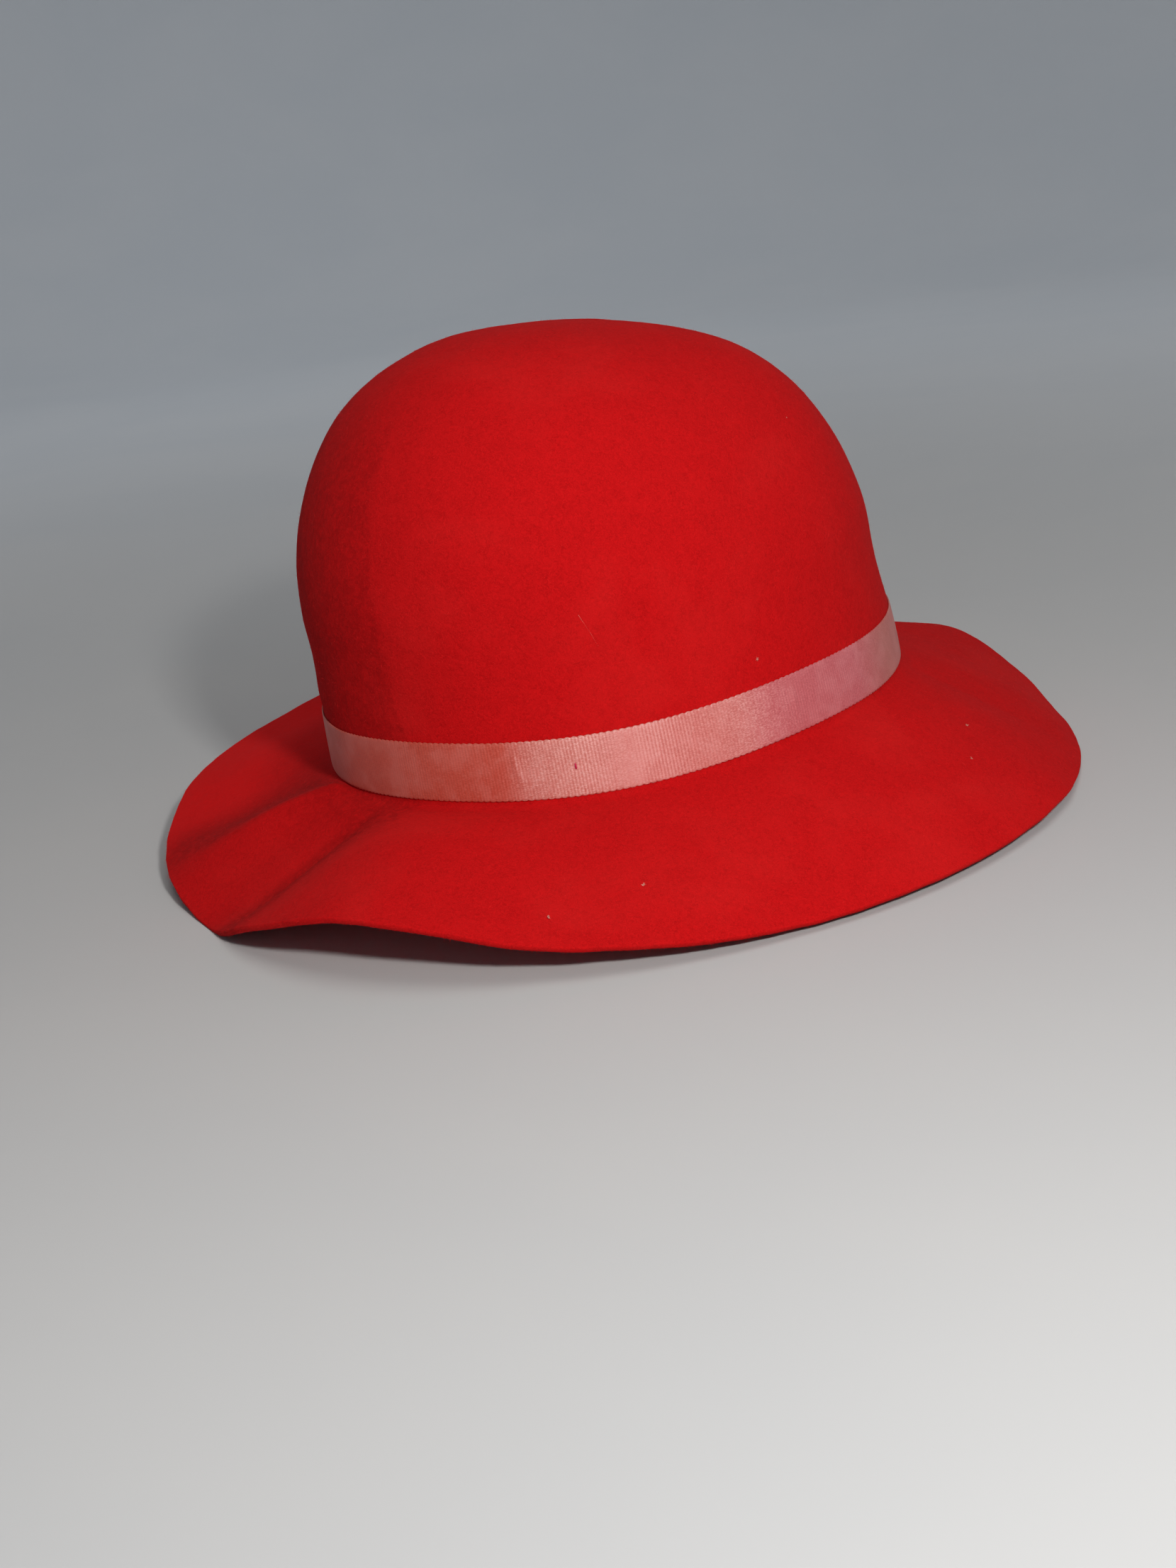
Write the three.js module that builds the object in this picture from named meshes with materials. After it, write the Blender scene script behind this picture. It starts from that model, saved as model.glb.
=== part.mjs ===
// A soft felt hat: one felt body with a round crown and a waving brim, and a grosgrain ribbon band.
//
// Millimetres and degrees. +Z is up, -Y is the front of the hat and +X is the wearer's left.
// The hat stands on its own brim on the plane z = 0, and the origin is on that plane, under the middle
// of the hat's bounding box. The crown and brim are worked out first in the hat's own upright frame,
// whose origin is the middle of the head oval, and are then tipped and lowered onto the plane.
// Azimuths run round the hat from +X (0) through +Y (90) to the front (270).

import * as THREE from 'three';

// ---------------------------------------------------------------- driving dimensions

const FELT_THICKNESS = 2.0;

// The head oval, measured outside the felt at the break, where the crown turns out into the brim.
const OVAL = { halfLength: 100, halfWidth: 85 };

// The break isn't quite level: it rises by this much at two opposite sides and drops between them.
const BREAK_WAVE = { rise: 1.6, highAt: 50, fadesBy: 60 };

const CROWN = {
  height: 128.8, // from the break to the top, before the swells below
  wall: 48, // height of the nearly upright part
  taper: 0.03, // how far the wall draws in over that height, as a share of the oval
  shoulder: 1.8, // exponents of the rounded part: larger is squarer
  tip: 2.35,
};

// The crown leans: a straight part and a part that grows towards the top, both measured at the top.
const LEAN = { straight: 5.2, curved: 9.3, towards: 230 };

// Soft irregularities pressed into the crown by hand, seen from a point on its axis.
const SWELL_CENTRE_HEIGHT = 50;
const CROWN_SWELLS = [
  { azimuth: 230, elevation: 42, spread: 17, rise: 0.4 },
  { azimuth: 50, elevation: 34, spread: 17, rise: 4.4 },
  { azimuth: 50, elevation: 72, spread: 20, rise: -3.1 },
];

const BRIM = {
  width: 63, // along the felt, from the break to the cut edge
  widerBy: 2.5, // the width grows by this towards one side and shrinks by it opposite
  widerAt: 57,
  droop: 0.35, // how much flatter the slope is at the break than at the edge, as a share of it
};

// How steeply the brim falls away below the level of the break, all round the hat.
const BRIM_SLOPES = [
  { azimuth: 0, slope: 29.2 },
  { azimuth: 20, slope: 30.1 },
  { azimuth: 40, slope: 33.0 },
  { azimuth: 60, slope: 31.7 },
  { azimuth: 75, slope: 23.5 },
  { azimuth: 90, slope: 13.6 },
  { azimuth: 105, slope: 17.5 },
  { azimuth: 125, slope: 21.0 },
  { azimuth: 150, slope: 19.0 },
  { azimuth: 175, slope: 1.5 },
  { azimuth: 200, slope: 5.1 },
  { azimuth: 220, slope: 9.1 },
  { azimuth: 236, slope: 15.9 },
  { azimuth: 250, slope: 19.4 },
  { azimuth: 262, slope: 24.4 },
  { azimuth: 275, slope: 15.6 },
  { azimuth: 290, slope: 8.8 },
  { azimuth: 310, slope: 18.6 },
  { azimuth: 335, slope: 27.0 },
];

// Folds that run outwards across the brim, slightly askew: a ridge between two valleys at the front, and a
// broad shallow valley on the other side. start and end are shares of the brim's width.
const BRIM_FOLDS = [
  { atBreak: 236, atEdge: 242, spread: 9, rise: -2.2, start: 0.0, end: 1.0 },
  { atBreak: 256, atEdge: 246, spread: 4.5, rise: 3.0, start: -0.1, end: 1.0 },
  { atBreak: 275, atEdge: 267, spread: 5, rise: -3.6, start: 0.05, end: 1.08 },
  { atBreak: 45, atEdge: 41, spread: 8, rise: -2.0, start: -0.1, end: 0.9 },
];

// A low swell in the brim beside the folds. share and wide are shares of the brim's width.
const BRIM_SWELL = { azimuth: 289, spread: 15, share: 0.42, wide: 0.24, rise: 2.6 };

// The inside corner between crown and brim is rounded over this much of each.
const BREAK_CURVE = { up: 2.0, out: 4.0 };

// The cut edge of the brim is very slightly rounded.
const EDGE_ROUND = 0.35;

const RIBBON = { bottom: 2.0, top: 19.5, gap: 0.3, thickness: 1.0 };

// How the hat rests: its upright axis leans this far from the vertical, away from this azimuth, and the
// middle of the head oval stands here. The felt that would pass below the plane is pressed flat on it.
const REST = { tilt: 2.75, awayFrom: 19 };
const SEAT = { x: 2.1, y: -2.9, z: 28.8 };

// Mesh fineness.
const COLUMNS = 72;
const DOME_RINGS = 9;
const WALL_LEVELS = [32, 16];
const BREAK_RINGS = 2;
const BRIM_SHARES = [0.17, 0.3, 0.44, 0.58, 0.72, 0.86, 0.98, 1];
const RIBBON_LEVELS = [RIBBON.bottom, (RIBBON.bottom + RIBBON.top) / 2, RIBBON.top];

// ---------------------------------------------------------------- curves

const radians = THREE.MathUtils.degToRad;
const AZIMUTHS = Array.from({ length: COLUMNS }, (_, column) => (360 * column) / COLUMNS);

// The horizontal direction of an azimuth.
function heading(azimuth) {
  return new THREE.Vector3(Math.cos(radians(azimuth)), Math.sin(radians(azimuth)), 0);
}

// The shortest way round from one azimuth to another, from -180 to 180.
function turnBetween(from, to) {
  return ((((to - from + 180) % 360) + 360) % 360) - 180;
}

// The brim's slope at an azimuth, on a smooth closed curve through the rows of the table.
function brimSlope(azimuth) {
  const count = BRIM_SLOPES.length;
  const row = (index) => {
    const turns = Math.floor(index / count);
    const { azimuth: at, slope } = BRIM_SLOPES[index - turns * count];
    return { at: at + 360 * turns, slope };
  };
  const here = ((azimuth % 360) + 360) % 360;
  const index = BRIM_SLOPES.findLastIndex((each) => each.azimuth <= here);
  const [before, start, end, after] = [row(index - 1), row(index), row(index + 1), row(index + 2)];
  const span = end.at - start.at;
  const startTangent = (span * (end.slope - before.slope)) / (end.at - before.at);
  const endTangent = (span * (after.slope - start.slope)) / (after.at - start.at);
  const t = (here - start.at) / span;
  return (
    (2 * t ** 3 - 3 * t ** 2 + 1) * start.slope +
    (t ** 3 - 2 * t ** 2 + t) * startTangent +
    (3 * t ** 2 - 2 * t ** 3) * end.slope +
    (t ** 3 - t ** 2) * endTangent
  );
}

// How far the break stands above or below its mean level at an azimuth.
function breakRise(azimuth) {
  return BREAK_WAVE.rise * Math.cos(2 * radians(azimuth - BREAK_WAVE.highAt));
}

// ---------------------------------------------------------------- outer surfaces, in the upright frame

// The crown's width at a level, as a share of the head oval.
function crownSpread(level) {
  const taper = THREE.MathUtils.smoothstep(level, 0, CROWN.wall);
  const share = Math.max(0, level - CROWN.wall) / (CROWN.height - CROWN.wall);
  const rounding = (1 - Math.min(1, share) ** CROWN.shoulder) ** (1 / CROWN.tip);
  return (1 - CROWN.taper * taper) * rounding;
}

// A point on the crown at an azimuth and a level above the break, standing proud of the felt if asked.
function crownPoint(azimuth, level, proud = 0) {
  const out = heading(azimuth);
  const spread = crownSpread(level);
  const point = new THREE.Vector3(
    out.x * (OVAL.halfWidth * spread + proud),
    out.y * (OVAL.halfLength * spread + proud),
    level,
  );

  const centre = new THREE.Vector3(0, 0, SWELL_CENTRE_HEIGHT);
  const ray = point.clone().sub(centre).normalize();
  for (const swell of CROWN_SWELLS) {
    const aim = heading(swell.azimuth).multiplyScalar(Math.cos(radians(swell.elevation)));
    aim.z = Math.sin(radians(swell.elevation));
    const away = THREE.MathUtils.radToDeg(ray.angleTo(aim));
    point.addScaledVector(ray, swell.rise * Math.exp(-0.5 * (away / swell.spread) ** 2));
  }

  const share = level / CROWN.height;
  point.addScaledVector(heading(LEAN.towards), LEAN.straight * share + LEAN.curved * share ** 2);
  const wave = 1 - THREE.MathUtils.smoothstep(level, RIBBON.top, BREAK_WAVE.fadesBy);
  point.z += breakRise(azimuth) * wave;
  return point;
}

// How much the folds and the swell lift the brim at an azimuth and a share of its width.
function foldRise(azimuth, share) {
  let rise = 0;
  for (const fold of BRIM_FOLDS) {
    if (share <= fold.start || share >= fold.end) continue;
    const middle = THREE.MathUtils.lerp(fold.atBreak, fold.atEdge, share);
    const away = turnBetween(middle, azimuth) / fold.spread;
    const strength = Math.sin((Math.PI * (share - fold.start)) / (fold.end - fold.start));
    rise += fold.rise * strength * Math.exp(-0.5 * away ** 2);
  }
  const aside = turnBetween(BRIM_SWELL.azimuth, azimuth) / BRIM_SWELL.spread;
  const outside = (share - BRIM_SWELL.share) / BRIM_SWELL.wide;
  const fadeIn = THREE.MathUtils.smoothstep(share, 0, 0.1);
  return rise + BRIM_SWELL.rise * fadeIn * Math.exp(-0.5 * (aside ** 2 + outside ** 2));
}

// A point on the brim's upper side at an azimuth and a share of its width out from the break.
function brimPoint(azimuth, share) {
  const out = heading(azimuth);
  const width = BRIM.width + BRIM.widerBy * Math.cos(radians(azimuth - BRIM.widerAt));
  const slope = radians(brimSlope(azimuth) * (1 - BRIM.droop + BRIM.droop * share));
  const outwards = new THREE.Vector3(out.x / OVAL.halfWidth, out.y / OVAL.halfLength, 0).normalize();
  const point = new THREE.Vector3(out.x * OVAL.halfWidth, out.y * OVAL.halfLength, breakRise(azimuth));
  point.addScaledVector(outwards, share * width * Math.cos(slope));
  point.z += foldRise(azimuth, share) - share * width * Math.sin(slope);
  return point;
}

// ---------------------------------------------------------------- rings of points

// The upper side of the felt as rings of points from the tip of the crown down and out to the cut edge.
function feltRings() {
  const rings = [];
  for (let ring = 1; ring <= DOME_RINGS; ring += 1) {
    const turn = (Math.PI / 2) * (1 - ring / DOME_RINGS);
    const level = CROWN.wall + (CROWN.height - CROWN.wall) * Math.sin(turn) ** (2 / CROWN.shoulder);
    rings.push(AZIMUTHS.map((azimuth) => crownPoint(azimuth, level)));
  }
  for (const level of [...WALL_LEVELS, BREAK_CURVE.up]) {
    rings.push(AZIMUTHS.map((azimuth) => crownPoint(azimuth, level)));
  }
  for (let ring = 1; ring <= BREAK_RINGS; ring += 1) {
    const t = ring / (BREAK_RINGS + 1);
    rings.push(AZIMUTHS.map((azimuth) => breakPoint(azimuth, t)));
  }
  for (const share of [BREAK_CURVE.out / BRIM.width, ...BRIM_SHARES]) {
    rings.push(AZIMUTHS.map((azimuth) => brimPoint(azimuth, share)));
  }
  return rings;
}

// A point on the rounded inside corner, from the crown (t = 0) to the brim (t = 1).
function breakPoint(azimuth, t) {
  const curve = new THREE.QuadraticBezierCurve3(
    crownPoint(azimuth, BREAK_CURVE.up),
    crownPoint(azimuth, 0),
    brimPoint(azimuth, BREAK_CURVE.out / BRIM.width),
  );
  return curve.getPoint(t);
}

// The same rings moved inwards by the felt's thickness, square to the upper side.
function innerRings(rings, tip) {
  return rings.map((ring, index) =>
    ring.map((point, column) => {
      const above = index > 0 ? rings[index - 1][column] : tip;
      const below = rings[Math.min(index + 1, rings.length - 1)][column];
      const left = ring[(column + COLUMNS - 1) % COLUMNS];
      const right = ring[(column + 1) % COLUMNS];
      const normal = below.clone().sub(above).cross(right.clone().sub(left)).normalize();
      return point.clone().addScaledVector(normal, -FELT_THICKNESS);
    }),
  );
}

// ---------------------------------------------------------------- solids

// Tips the upright hat to the way it rests and sets it down.
const upright = new THREE.Vector3(0, 0, 1);
const lean = heading(REST.awayFrom).multiplyScalar(Math.sin(radians(REST.tilt)));
lean.z = Math.cos(radians(REST.tilt));
const tip = new THREE.Quaternion().setFromUnitVectors(lean, upright);

function setDown(point) {
  return point.clone().applyQuaternion(tip).add(new THREE.Vector3(SEAT.x, SEAT.y, SEAT.z));
}

// A closed mesh from rings of points that follow each other over the whole skin. With two poles the skin
// starts and ends in a point; with none the last ring joins the first.
function closedSkin(rings, poles = []) {
  const positions = [...rings.flat(), ...poles].flatMap((point) => point.toArray());
  const at = (ring, column) => ring * COLUMNS + (column % COLUMNS);
  const indices = [];
  const strips = poles.length ? rings.length - 1 : rings.length;
  for (let ring = 0; ring < strips; ring += 1) {
    const next = (ring + 1) % rings.length;
    for (let column = 0; column < COLUMNS; column += 1) {
      const [a, b] = [at(ring, column), at(ring, column + 1)];
      const [c, d] = [at(next, column), at(next, column + 1)];
      indices.push(a, c, b, b, c, d);
    }
  }
  poles.forEach((_, pole) => {
    const centre = rings.length * COLUMNS + pole;
    const ring = pole === 0 ? 0 : rings.length - 1;
    for (let column = 0; column < COLUMNS; column += 1) {
      const [a, b] = [at(ring, column), at(ring, column + 1)];
      indices.push(...(pole === 0 ? [centre, a, b] : [centre, b, a]));
    }
  });
  const geometry = new THREE.BufferGeometry();
  geometry.setAttribute('position', new THREE.Float32BufferAttribute(positions, 3));
  geometry.setIndex(indices);
  geometry.computeVertexNormals();
  return geometry;
}

// The felt: crown and brim are one piece, hollow and open below, with a cut edge all round.
function feltBody() {
  const top = crownPoint(0, CROWN.height);
  const outer = feltRings();
  const inner = innerRings(outer, top);
  const edge = outer.at(-1).map((point, column) => {
    const outwards = point.clone().sub(outer.at(-2)[column]).normalize();
    const middle = point.clone().lerp(inner.at(-1)[column], 0.5);
    return middle.addScaledVector(outwards, EDGE_ROUND);
  });
  const underTop = top.clone().setZ(top.z - FELT_THICKNESS);
  const pressed = (point) => point.setZ(Math.max(0, point.z));
  const rings = [...outer, edge, ...inner.reverse()];
  const settled = rings.map((ring) => ring.map((point) => pressed(setDown(point))));
  return closedSkin(settled, [setDown(top), setDown(underTop)]);
}

// The ribbon: a plain closed band of grosgrain that stands round the foot of the crown.
function ribbonBand() {
  const side = (proud) => RIBBON_LEVELS.map((level) =>
    AZIMUTHS.map((azimuth) => setDown(crownPoint(azimuth, level, proud))));
  const inside = side(RIBBON.gap);
  const outside = side(RIBBON.gap + RIBBON.thickness);
  return closedSkin([...outside.reverse(), ...inside]);
}

function piece(name, geometry, finish) {
  const mesh = new THREE.Mesh(geometry, new THREE.MeshStandardMaterial(finish));
  mesh.name = name;
  return mesh;
}

// ---------------------------------------------------------------- the hat

const group = new THREE.Group();
group.add(piece('felt_body', feltBody(), { color: '#c11418', roughness: 0.92, metalness: 0 }));
group.add(piece('ribbon_band', ribbonBand(), { color: '#d27478', roughness: 0.5, metalness: 0 }));

export default group;
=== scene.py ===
# %% [markdown]
# # A red felt hat with a grosgrain ribbon
# The hat is one piece of wool felt: a blocked crown and a soft brim that has sagged into waves. A
# pink ribbon goes once round the foot of the crown. Its shape was settled in CAD, so this lesson
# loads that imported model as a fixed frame, and then makes the finer pieces that stand for its two
# solids: felt with folds and a nap, and a ribbon with real ribs.

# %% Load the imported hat
import math

import bpy
import numpy as np
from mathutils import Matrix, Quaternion, Vector, noise


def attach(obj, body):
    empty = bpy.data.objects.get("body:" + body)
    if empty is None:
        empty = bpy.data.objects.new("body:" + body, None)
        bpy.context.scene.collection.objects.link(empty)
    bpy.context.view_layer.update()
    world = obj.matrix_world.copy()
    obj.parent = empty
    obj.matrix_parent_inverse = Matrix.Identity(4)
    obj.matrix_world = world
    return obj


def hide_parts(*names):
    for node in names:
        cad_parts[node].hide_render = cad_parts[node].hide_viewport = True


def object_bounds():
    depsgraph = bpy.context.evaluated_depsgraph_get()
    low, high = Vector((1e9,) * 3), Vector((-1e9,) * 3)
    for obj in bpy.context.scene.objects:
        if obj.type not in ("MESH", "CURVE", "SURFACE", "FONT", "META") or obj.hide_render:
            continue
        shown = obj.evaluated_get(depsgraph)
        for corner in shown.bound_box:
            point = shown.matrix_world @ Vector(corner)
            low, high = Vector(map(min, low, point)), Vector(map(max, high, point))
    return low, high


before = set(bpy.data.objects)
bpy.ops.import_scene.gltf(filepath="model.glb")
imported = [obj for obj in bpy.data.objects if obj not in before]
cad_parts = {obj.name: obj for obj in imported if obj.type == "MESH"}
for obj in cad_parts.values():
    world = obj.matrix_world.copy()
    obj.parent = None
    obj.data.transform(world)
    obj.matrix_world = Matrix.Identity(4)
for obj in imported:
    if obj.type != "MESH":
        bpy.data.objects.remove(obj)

MM = 0.001
cad_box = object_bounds()
hat_middle = (cad_box[0] + cad_box[1]) / 2
print("CAD pieces:", sorted(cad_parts))
print("box:", [tuple(round(c, 4) for c in corner) for corner in cad_box])

# %% [markdown]
# ## The camera
# A camera can be aimed with a constraint or placed by hand. Here it is worked out from what it
# looks at, how far off it stands and from which side, because those are the numbers that a person
# with a camera would give. It is also turned a little about its own axis, as a camera held by hand
# is.

# %% Camera
CAMERA = {"azimuth": 50.62, "elevation": 18.31, "roll": -6.71, "distance": 0.62, "lens": 45.57}
CAMERA_AIM = Vector((0.0255, -0.0403, 0.0173))  # low in the front left of the hat
SENSOR_WIDTH = 36


def direction(azimuth, elevation):
    """The unit vector towards a place round the hat. Azimuth 0 is its front (-Y), 90 its left."""
    a, e = math.radians(azimuth), math.radians(elevation)
    return Vector((math.sin(a) * math.cos(e), -math.cos(a) * math.cos(e), math.sin(e)))


camera_data = bpy.data.cameras.new("camera")
camera_data.lens = CAMERA["lens"]
camera_data.sensor_width = SENSOR_WIDTH
camera_data.clip_start, camera_data.clip_end = 0.01, 100
camera = bpy.data.objects.new("camera", camera_data)
bpy.context.scene.collection.objects.link(camera)
bpy.context.scene.camera = camera

back = direction(CAMERA["azimuth"], CAMERA["elevation"])
level_view = (-back).to_track_quat("-Z", "Y")
camera.rotation_mode = "QUATERNION"
camera.rotation_quaternion = level_view @ Quaternion((0, 0, 1), math.radians(CAMERA["roll"]))
camera.location = CAMERA_AIM + back * CAMERA["distance"]
print("camera at", [round(c, 3) for c in camera.location])

# %% [markdown]
# ## Meshes from rings of points
# The floor, the felt and the stitch are all skins that go round something, so each can be given as
# rings of points that follow each other. Modifiers could make such skins too, but a mesh built from
# its points has exactly the faces that are asked for. These helpers join the rings up.

# %% Mesh helpers


def mesh_object(name, points, faces, smooth=True):
    """A new mesh object in the scene from points in metres and faces as rows of point numbers."""
    mesh = bpy.data.meshes.new(name)
    mesh.from_pydata(np.asarray(points, float).reshape(-1, 3).tolist(), [], faces)
    mesh.validate()
    mesh.shade_smooth() if smooth else mesh.shade_flat()
    thing = bpy.data.objects.new(name, mesh)
    bpy.context.scene.collection.objects.link(thing)
    return thing


def heading(azimuth):
    """The level unit vector of an azimuth in degrees, counted from +X towards +Y."""
    turn = np.radians(azimuth)
    return np.stack([np.cos(turn), np.sin(turn), np.zeros_like(turn)], axis=-1)


def strip_faces(rings, columns):
    """The quads between rings of points that follow each other in the list."""
    return [
        (a + column, b + column, b + (column + 1) % columns, a + (column + 1) % columns)
        for a, b in ((ring * columns, (ring + 1) * columns) for ring in range(rings - 1))
        for column in range(columns)
    ]


print("two rings of four points make", len(strip_faces(2, 4)), "quads")

# %% [markdown]
# ## The studio
# The hat rests on a plain pale floor. A flat plane would end in a hard horizon, so the floor is
# turned like a shallow dish: flat under the hat, and curving up far away on every side, so that
# there is no line behind the hat from any angle. The dish is one profile turned round the middle.

# %% Floor
FLOOR_FLAT, FLOOR_BEND, FLOOR_WALL = 1.6, 1.2, 0.8  # m: radii of flat and bend, height of the wall
FLAT_RINGS = [(0.001, 0.0), (0.3, 0.0), (0.8, 0.0)]  # m: radius and height
BEND_RINGS, FLOOR_COLUMNS = 13, 96

bend = [
    (FLOOR_FLAT + FLOOR_BEND * math.sin(turn), FLOOR_BEND * (1 - math.cos(turn)))
    for turn in np.linspace(0, math.pi / 2, BEND_RINGS)
]
profile = [*FLAT_RINGS, *bend, (FLOOR_FLAT + FLOOR_BEND, FLOOR_BEND + FLOOR_WALL)]
around = heading(np.arange(FLOOR_COLUMNS) * 360 / FLOOR_COLUMNS)
floor_points = [around * radius + [0, 0, height] for radius, height in profile]
floor = mesh_object("studio_floor", floor_points, strip_faces(len(profile), FLOOR_COLUMNS))
print("floor flat to", FLOOR_FLAT, "m, then a bend of", FLOOR_BEND, "m")

# %% [markdown]
# ## The lights
# Felt has no shine, so only the angle of the light shows its shape. One rather small lamp stands a
# little to the right of the camera and above it: the front of the crown is bright and the far side
# of every fold falls into shade. A wide lamp overhead, a weak cool one behind the hat and a dim sky
# lift those shades. A larger main lamp would be softer, but then the folds of the brim would
# disappear.

# %% Lamps
LAMPS = {
    #            azimuth, elevation, distance m, size m, power W, colour
    "key_lamp": (64, 25, 0.72, 0.06, 3.1, (1.0, 0.98, 0.95)),
    "ceiling": (0, 88, 1.6, 1.2, 7.4, (1.0, 0.97, 0.93)),
    "back_fill": (180, 55, 1.6, 1.0, 1.0, (0.90, 0.95, 1.0)),
}


def area_lamp(name, place, aim, size, power, colour):
    """A square soft lamp at a place, turned to shine at another."""
    data = bpy.data.lights.new(name, "AREA")
    data.size, data.energy, data.color = size, power, colour
    lamp = bpy.data.objects.new(name, data)
    lamp.location = place
    lamp.rotation_mode = "QUATERNION"
    lamp.rotation_quaternion = (aim - place).to_track_quat("-Z", "Y")
    bpy.context.scene.collection.objects.link(lamp)


for name, (azimuth, elevation, distance, size, power, colour) in LAMPS.items():
    place = hat_middle + direction(azimuth, elevation) * distance
    area_lamp(name, place, hat_middle, size, power, colour)
print("lamps:", ", ".join(LAMPS))

# %% [markdown]
# Those lamps are near the hat, and the floor's far wall would be dark behind it. Stronger
# lamps would spoil the hat's shades, so a ring of lamps over the hat is turned outwards instead. It
# lights the far floor and its wall, and reaches the hat only as what they reflect, so that the hat
# stands before something pale from every side.

# %% Lamps for the wall, and the sky
SKY = (0.82, 0.90, 1.0)
SKY_STRENGTH = 0.01
WALL_LAMPS = 6
WALL_LAMP = {"out": 1.15, "up": 1.35, "size": 0.5, "power": 6.5}  # m, m, m, W

for i in range(WALL_LAMPS):
    outwards = direction(i * 360 / WALL_LAMPS, 0)
    place = outwards * WALL_LAMP["out"] + Vector((0, 0, WALL_LAMP["up"]))
    foot_of_wall = outwards * (FLOOR_FLAT + FLOOR_BEND)
    area_lamp(f"wall_lamp_{i}", place, foot_of_wall, WALL_LAMP["size"], WALL_LAMP["power"], SKY)

world = bpy.data.worlds.new("sky")
world.use_nodes = True
world.node_tree.nodes["Background"].inputs["Color"].default_value = (*SKY, 1)
world.node_tree.nodes["Background"].inputs["Strength"].default_value = SKY_STRENGTH
bpy.context.scene.world = world
bpy.context.scene.view_settings.view_transform = "Standard"
print("wall lamps:", WALL_LAMPS, "and a sky of strength", SKY_STRENGTH)

# %% [markdown]
# ## The crown
# A hatter pulls wet felt over a wooden block, so a crown is best described as a block is: an oval
# for the head, a height, and how the shoulder rounds over. The sizes are those of the CAD solid, in
# millimetres and degrees, in the hat's upright frame, where the middle of the head oval is the
# origin. Dividing the coarse solid would only smooth its corners and could not sharpen its folds,
# so the fine felt is made from the sizes again. The functions take whole arrays of azimuths and
# heights and give all their points at once, which makes a mesh of tens of thousands of points quick
# in Python.

# %% Widths and heights of the crown
HALF_LENGTH, HALF_WIDTH = 100.0, 85.0  # of the head oval, outside the felt at the break
CROWN_HEIGHT, WALL_HEIGHT, WALL_TAPER = 128.8, 48.0, 0.03
SHOULDER, TIP = 1.8, 2.35  # exponents of the rounded part: larger is squarer
BREAK_RISE, BREAK_HIGH_AT = 1.6, 50.0  # the break is high at this azimuth and opposite it
BREAK_FADES_BY = 60.0  # the height up to which the crown follows that rise
RIBBON_BOTTOM, RIBBON_TOP = 2.0, 19.5  # heights above the break


def smoothstep(value, low, high):
    """A share from 0 to 1 that starts and ends gently."""
    share = np.clip((value - low) / (high - low), 0, 1)
    return share * share * (3 - 2 * share)


def break_rise(azimuth):
    """The break between crown and brim isn't quite level."""
    return BREAK_RISE * np.cos(2 * np.radians(azimuth - BREAK_HIGH_AT))


def crown_spread(level):
    """The crown's width at a level, as a share of the head oval."""
    share = np.clip((level - WALL_HEIGHT) / (CROWN_HEIGHT - WALL_HEIGHT), 0, 1)
    return (1 - WALL_TAPER * smoothstep(level, 0, WALL_HEIGHT)) * (1 - share**SHOULDER) ** (1 / TIP)


print("head oval", 2 * HALF_LENGTH, "x", 2 * HALF_WIDTH, "mm")
half_way_up = (WALL_HEIGHT + CROWN_HEIGHT) / 2
print("width half-way up the shoulder, as a share:", crown_spread(half_way_up).round(2))

# %% [markdown]
# A crown that has been worn is not a true turned shape. This one leans to one side, swells out in
# two places and is pressed in at a third. Each swell is a soft round bump pushed out from a point
# inside the crown, which keeps the surface smooth however the swells overlap.

# %% Points on the crown
LEAN_STRAIGHT, LEAN_CURVED, LEAN_TOWARDS = 5.2, 9.3, 230.0  # mm at the tip, mm, azimuth
SWELL_CENTRE = np.array([0.0, 0.0, 50.0])
CROWN_SWELLS = [  # azimuth, elevation, spread, rise
    (230, 42, 17, 0.4),
    (50, 34, 17, 4.4),
    (50, 72, 20, -3.1),
]


def crown_point(azimuth, level, proud=0.0):
    """Points on the crown, standing proud of the felt if asked."""
    azimuth, level, proud = np.broadcast_arrays(azimuth, level, proud)
    out, spread = heading(azimuth), crown_spread(level)
    across = out[..., 0] * (HALF_WIDTH * spread + proud)
    ahead = out[..., 1] * (HALF_LENGTH * spread + proud)
    point = np.stack([across, ahead, level], axis=-1)
    ray = point - SWELL_CENTRE
    ray /= np.linalg.norm(ray, axis=-1, keepdims=True)
    for towards, elevation, width, rise in CROWN_SWELLS:
        up = math.radians(elevation)
        aim = heading(towards) * math.cos(up) + [0, 0, math.sin(up)]
        away = np.degrees(np.arccos(np.clip(ray @ aim, -1, 1)))
        point = point + ray * (rise * np.exp(-0.5 * (away / width) ** 2))[..., None]
    share = level / CROWN_HEIGHT
    lean = LEAN_STRAIGHT * share + LEAN_CURVED * share**2
    point = point + heading(LEAN_TOWARDS) * lean[..., None]
    point[..., 2] += break_rise(azimuth) * (1 - smoothstep(level, RIBBON_TOP, BREAK_FADES_BY))
    return point


print("crown at the shoulder:", crown_point(0.0, WALL_HEIGHT).round(1))
print("crown at the tip:", crown_point(0.0, CROWN_HEIGHT).round(1))

# %% [markdown]
# ## The brim
# The brim falls away more steeply in some places than in others, which is what makes its waves. Its
# slope is known at the rows of a table, and a smooth closed curve is drawn through them. A curve
# object could do that as well, but here every point of the brim needs its slope as a number.

# %% How steeply the brim falls
BRIM_SLOPES = [  # azimuth, and how steeply the brim falls away there
    (0, 29.2), (20, 30.1), (40, 33.0), (60, 31.7), (75, 23.5), (90, 13.6), (105, 17.5),
    (125, 21.0), (150, 19.0), (175, 1.5), (200, 5.1), (220, 9.1), (236, 15.9), (250, 19.4),
    (262, 24.4), (275, 15.6), (290, 8.8), (310, 18.6), (335, 27.0),
]


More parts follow.
